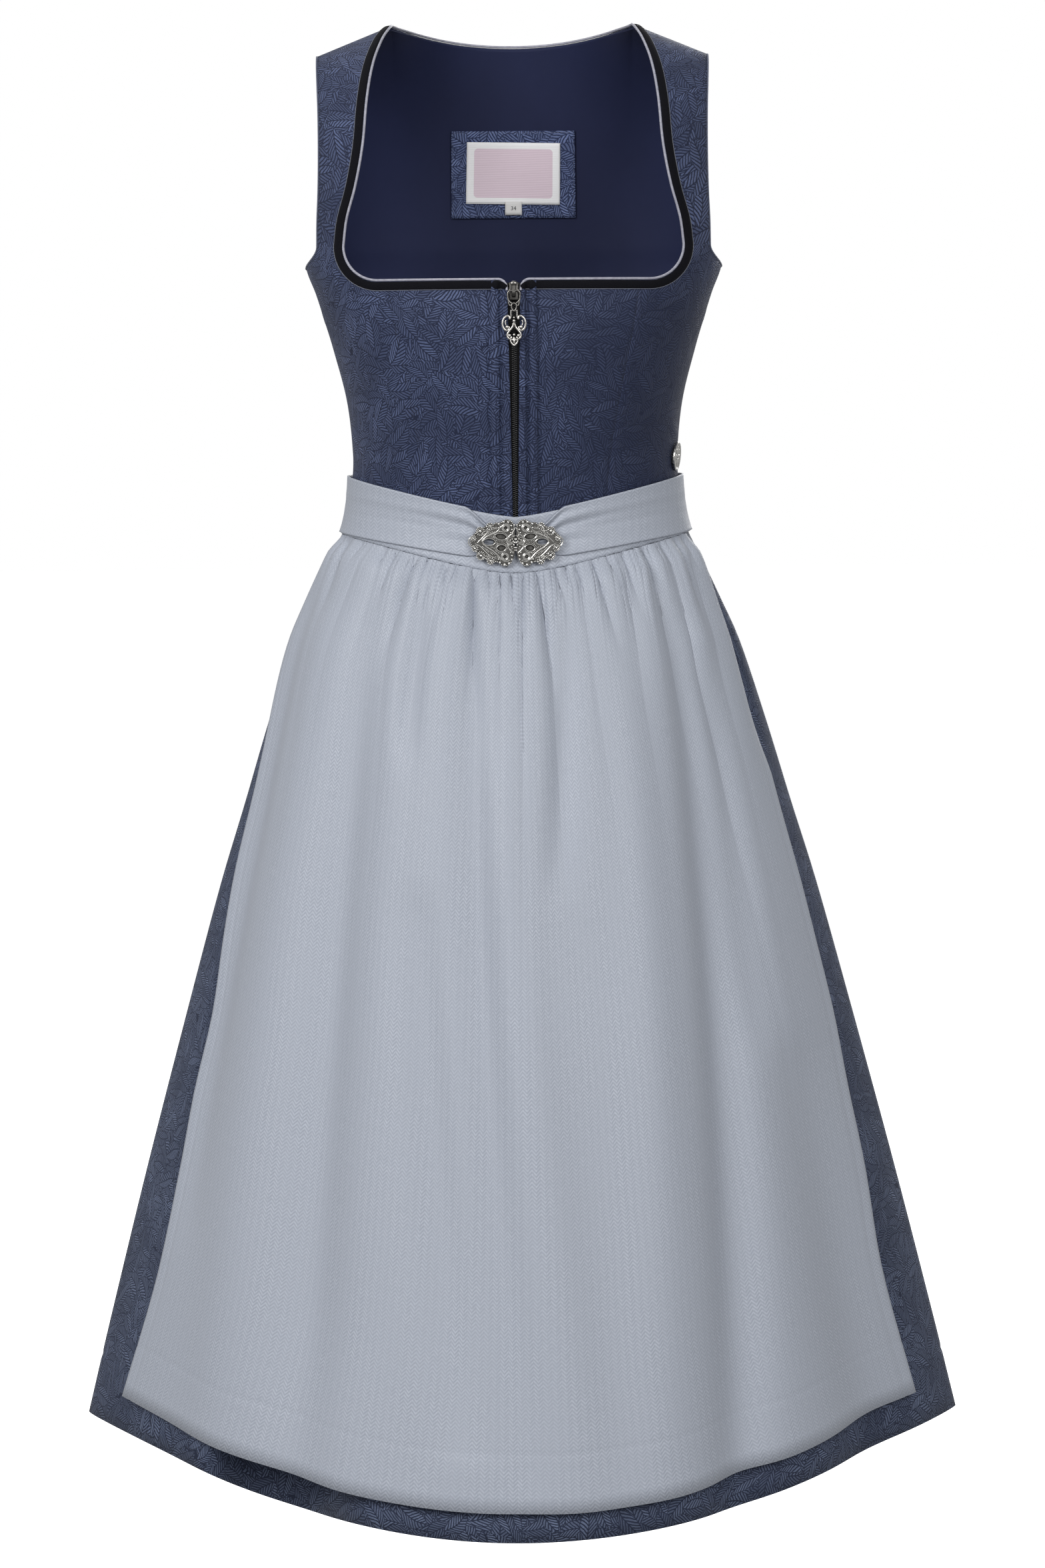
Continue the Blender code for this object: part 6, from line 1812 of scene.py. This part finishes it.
FLOOR_Z, FLOOR_REACH = -1.42, 30.0
WALL_RADIUS, WALL_HEIGHT = 24.0, 50.0
FLOOR_GLOW, WALL_GLOW, WORLD_GLOW = 0.68, 1.0, 0.40
WHITE = (1.0, 1.0, 1.0, 1.0)
LIGHTS_AIM = (0.0, 0.0, -0.45)
CAMERA_DISTANCE, CAMERA_Z, CAMERA_DROP, CAMERA_LENS = 3.5, -0.2446, 0.31, 109.2
CAMERA_X, CAMERA_ROLL = 0.0036, math.radians(-0.42)
Light = namedtuple("Light", "name place size power")
LIGHTS = [
    Light("key", (-1.9, -2.5, 1.1), 1.6, 66.0),
    Light("front", (1.4, -3.3, 1.0), 1.5, 52.0),
    Light("top", (-0.6, 0.8, 2.6), 2.0, 20.0),
    Light("back", (1.2, 4.0, 1.0), 2.4, 70.0),
]


def aim(thing, target):
    """Turn a lamp or the camera towards a point."""
    thing.rotation_euler = (Vector(target) - thing.location).to_track_quat("-Z", "Y").to_euler()


def studio_piece(name, bm, finish, glow):
    """Piece of the studio, which glows and isn't mirrored in the dress."""
    mesh = bpy.data.meshes.new(name)
    bm.to_mesh(mesh)
    bm.free()
    finish.fix("Emission Color", WHITE)
    finish.fix("Emission Strength", glow)
    mesh.materials.append(finish.material)
    piece = bpy.data.objects.new(name, mesh)
    piece.visible_diffuse = piece.visible_glossy = False
    bpy.context.collection.objects.link(piece)
    piece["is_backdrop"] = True
    return piece


bm = bmesh.new()
level = Matrix.Translation((0.0, 0.0, FLOOR_Z))
bmesh.ops.create_grid(bm, x_segments=8, y_segments=8, size=FLOOR_REACH, matrix=level)
studio_piece("studio_floor", bm, Finish("studio_floor", (0.86, 0.86, 0.86), 0.9), FLOOR_GLOW)

bm = bmesh.new()
bmesh.ops.create_cone(bm, segments=96, radius1=WALL_RADIUS, radius2=WALL_RADIUS, depth=WALL_HEIGHT)
bmesh.ops.reverse_faces(bm, faces=bm.faces)
wall = studio_piece("studio_wall", bm, Finish("studio_wall", (0.0, 0.0, 0.0), 1.0, specular=0.0), WALL_GLOW)
wall.visible_shadow = False

world = bpy.data.worlds.new("studio")
world.use_nodes = True
sky = world.node_tree.nodes["Background"].inputs
sky["Color"].default_value = WHITE
sky["Strength"].default_value = WORLD_GLOW
bpy.context.scene.world = world

for light in LIGHTS:
    lamp = bpy.data.lights.new(light.name, "AREA")
    lamp.size = light.size
    lamp.energy = light.power
    holder = bpy.data.objects.new(light.name, lamp)
    bpy.context.collection.objects.link(holder)
    holder.location = light.place
    aim(holder, LIGHTS_AIM)

camera = bpy.data.objects.new("camera", bpy.data.cameras.new("camera"))
bpy.context.collection.objects.link(camera)
camera.data.lens = CAMERA_LENS
camera.data.sensor_width = 36.0
camera.location = (CAMERA_X, -CAMERA_DISTANCE, CAMERA_Z)
aim(camera, (CAMERA_X, 0.0, CAMERA_Z - CAMERA_DROP))
camera.rotation_euler.rotate_axis("Z", CAMERA_ROLL)
bpy.context.scene.camera = camera
bpy.context.scene.view_settings.view_transform = "Standard"

low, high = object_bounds()
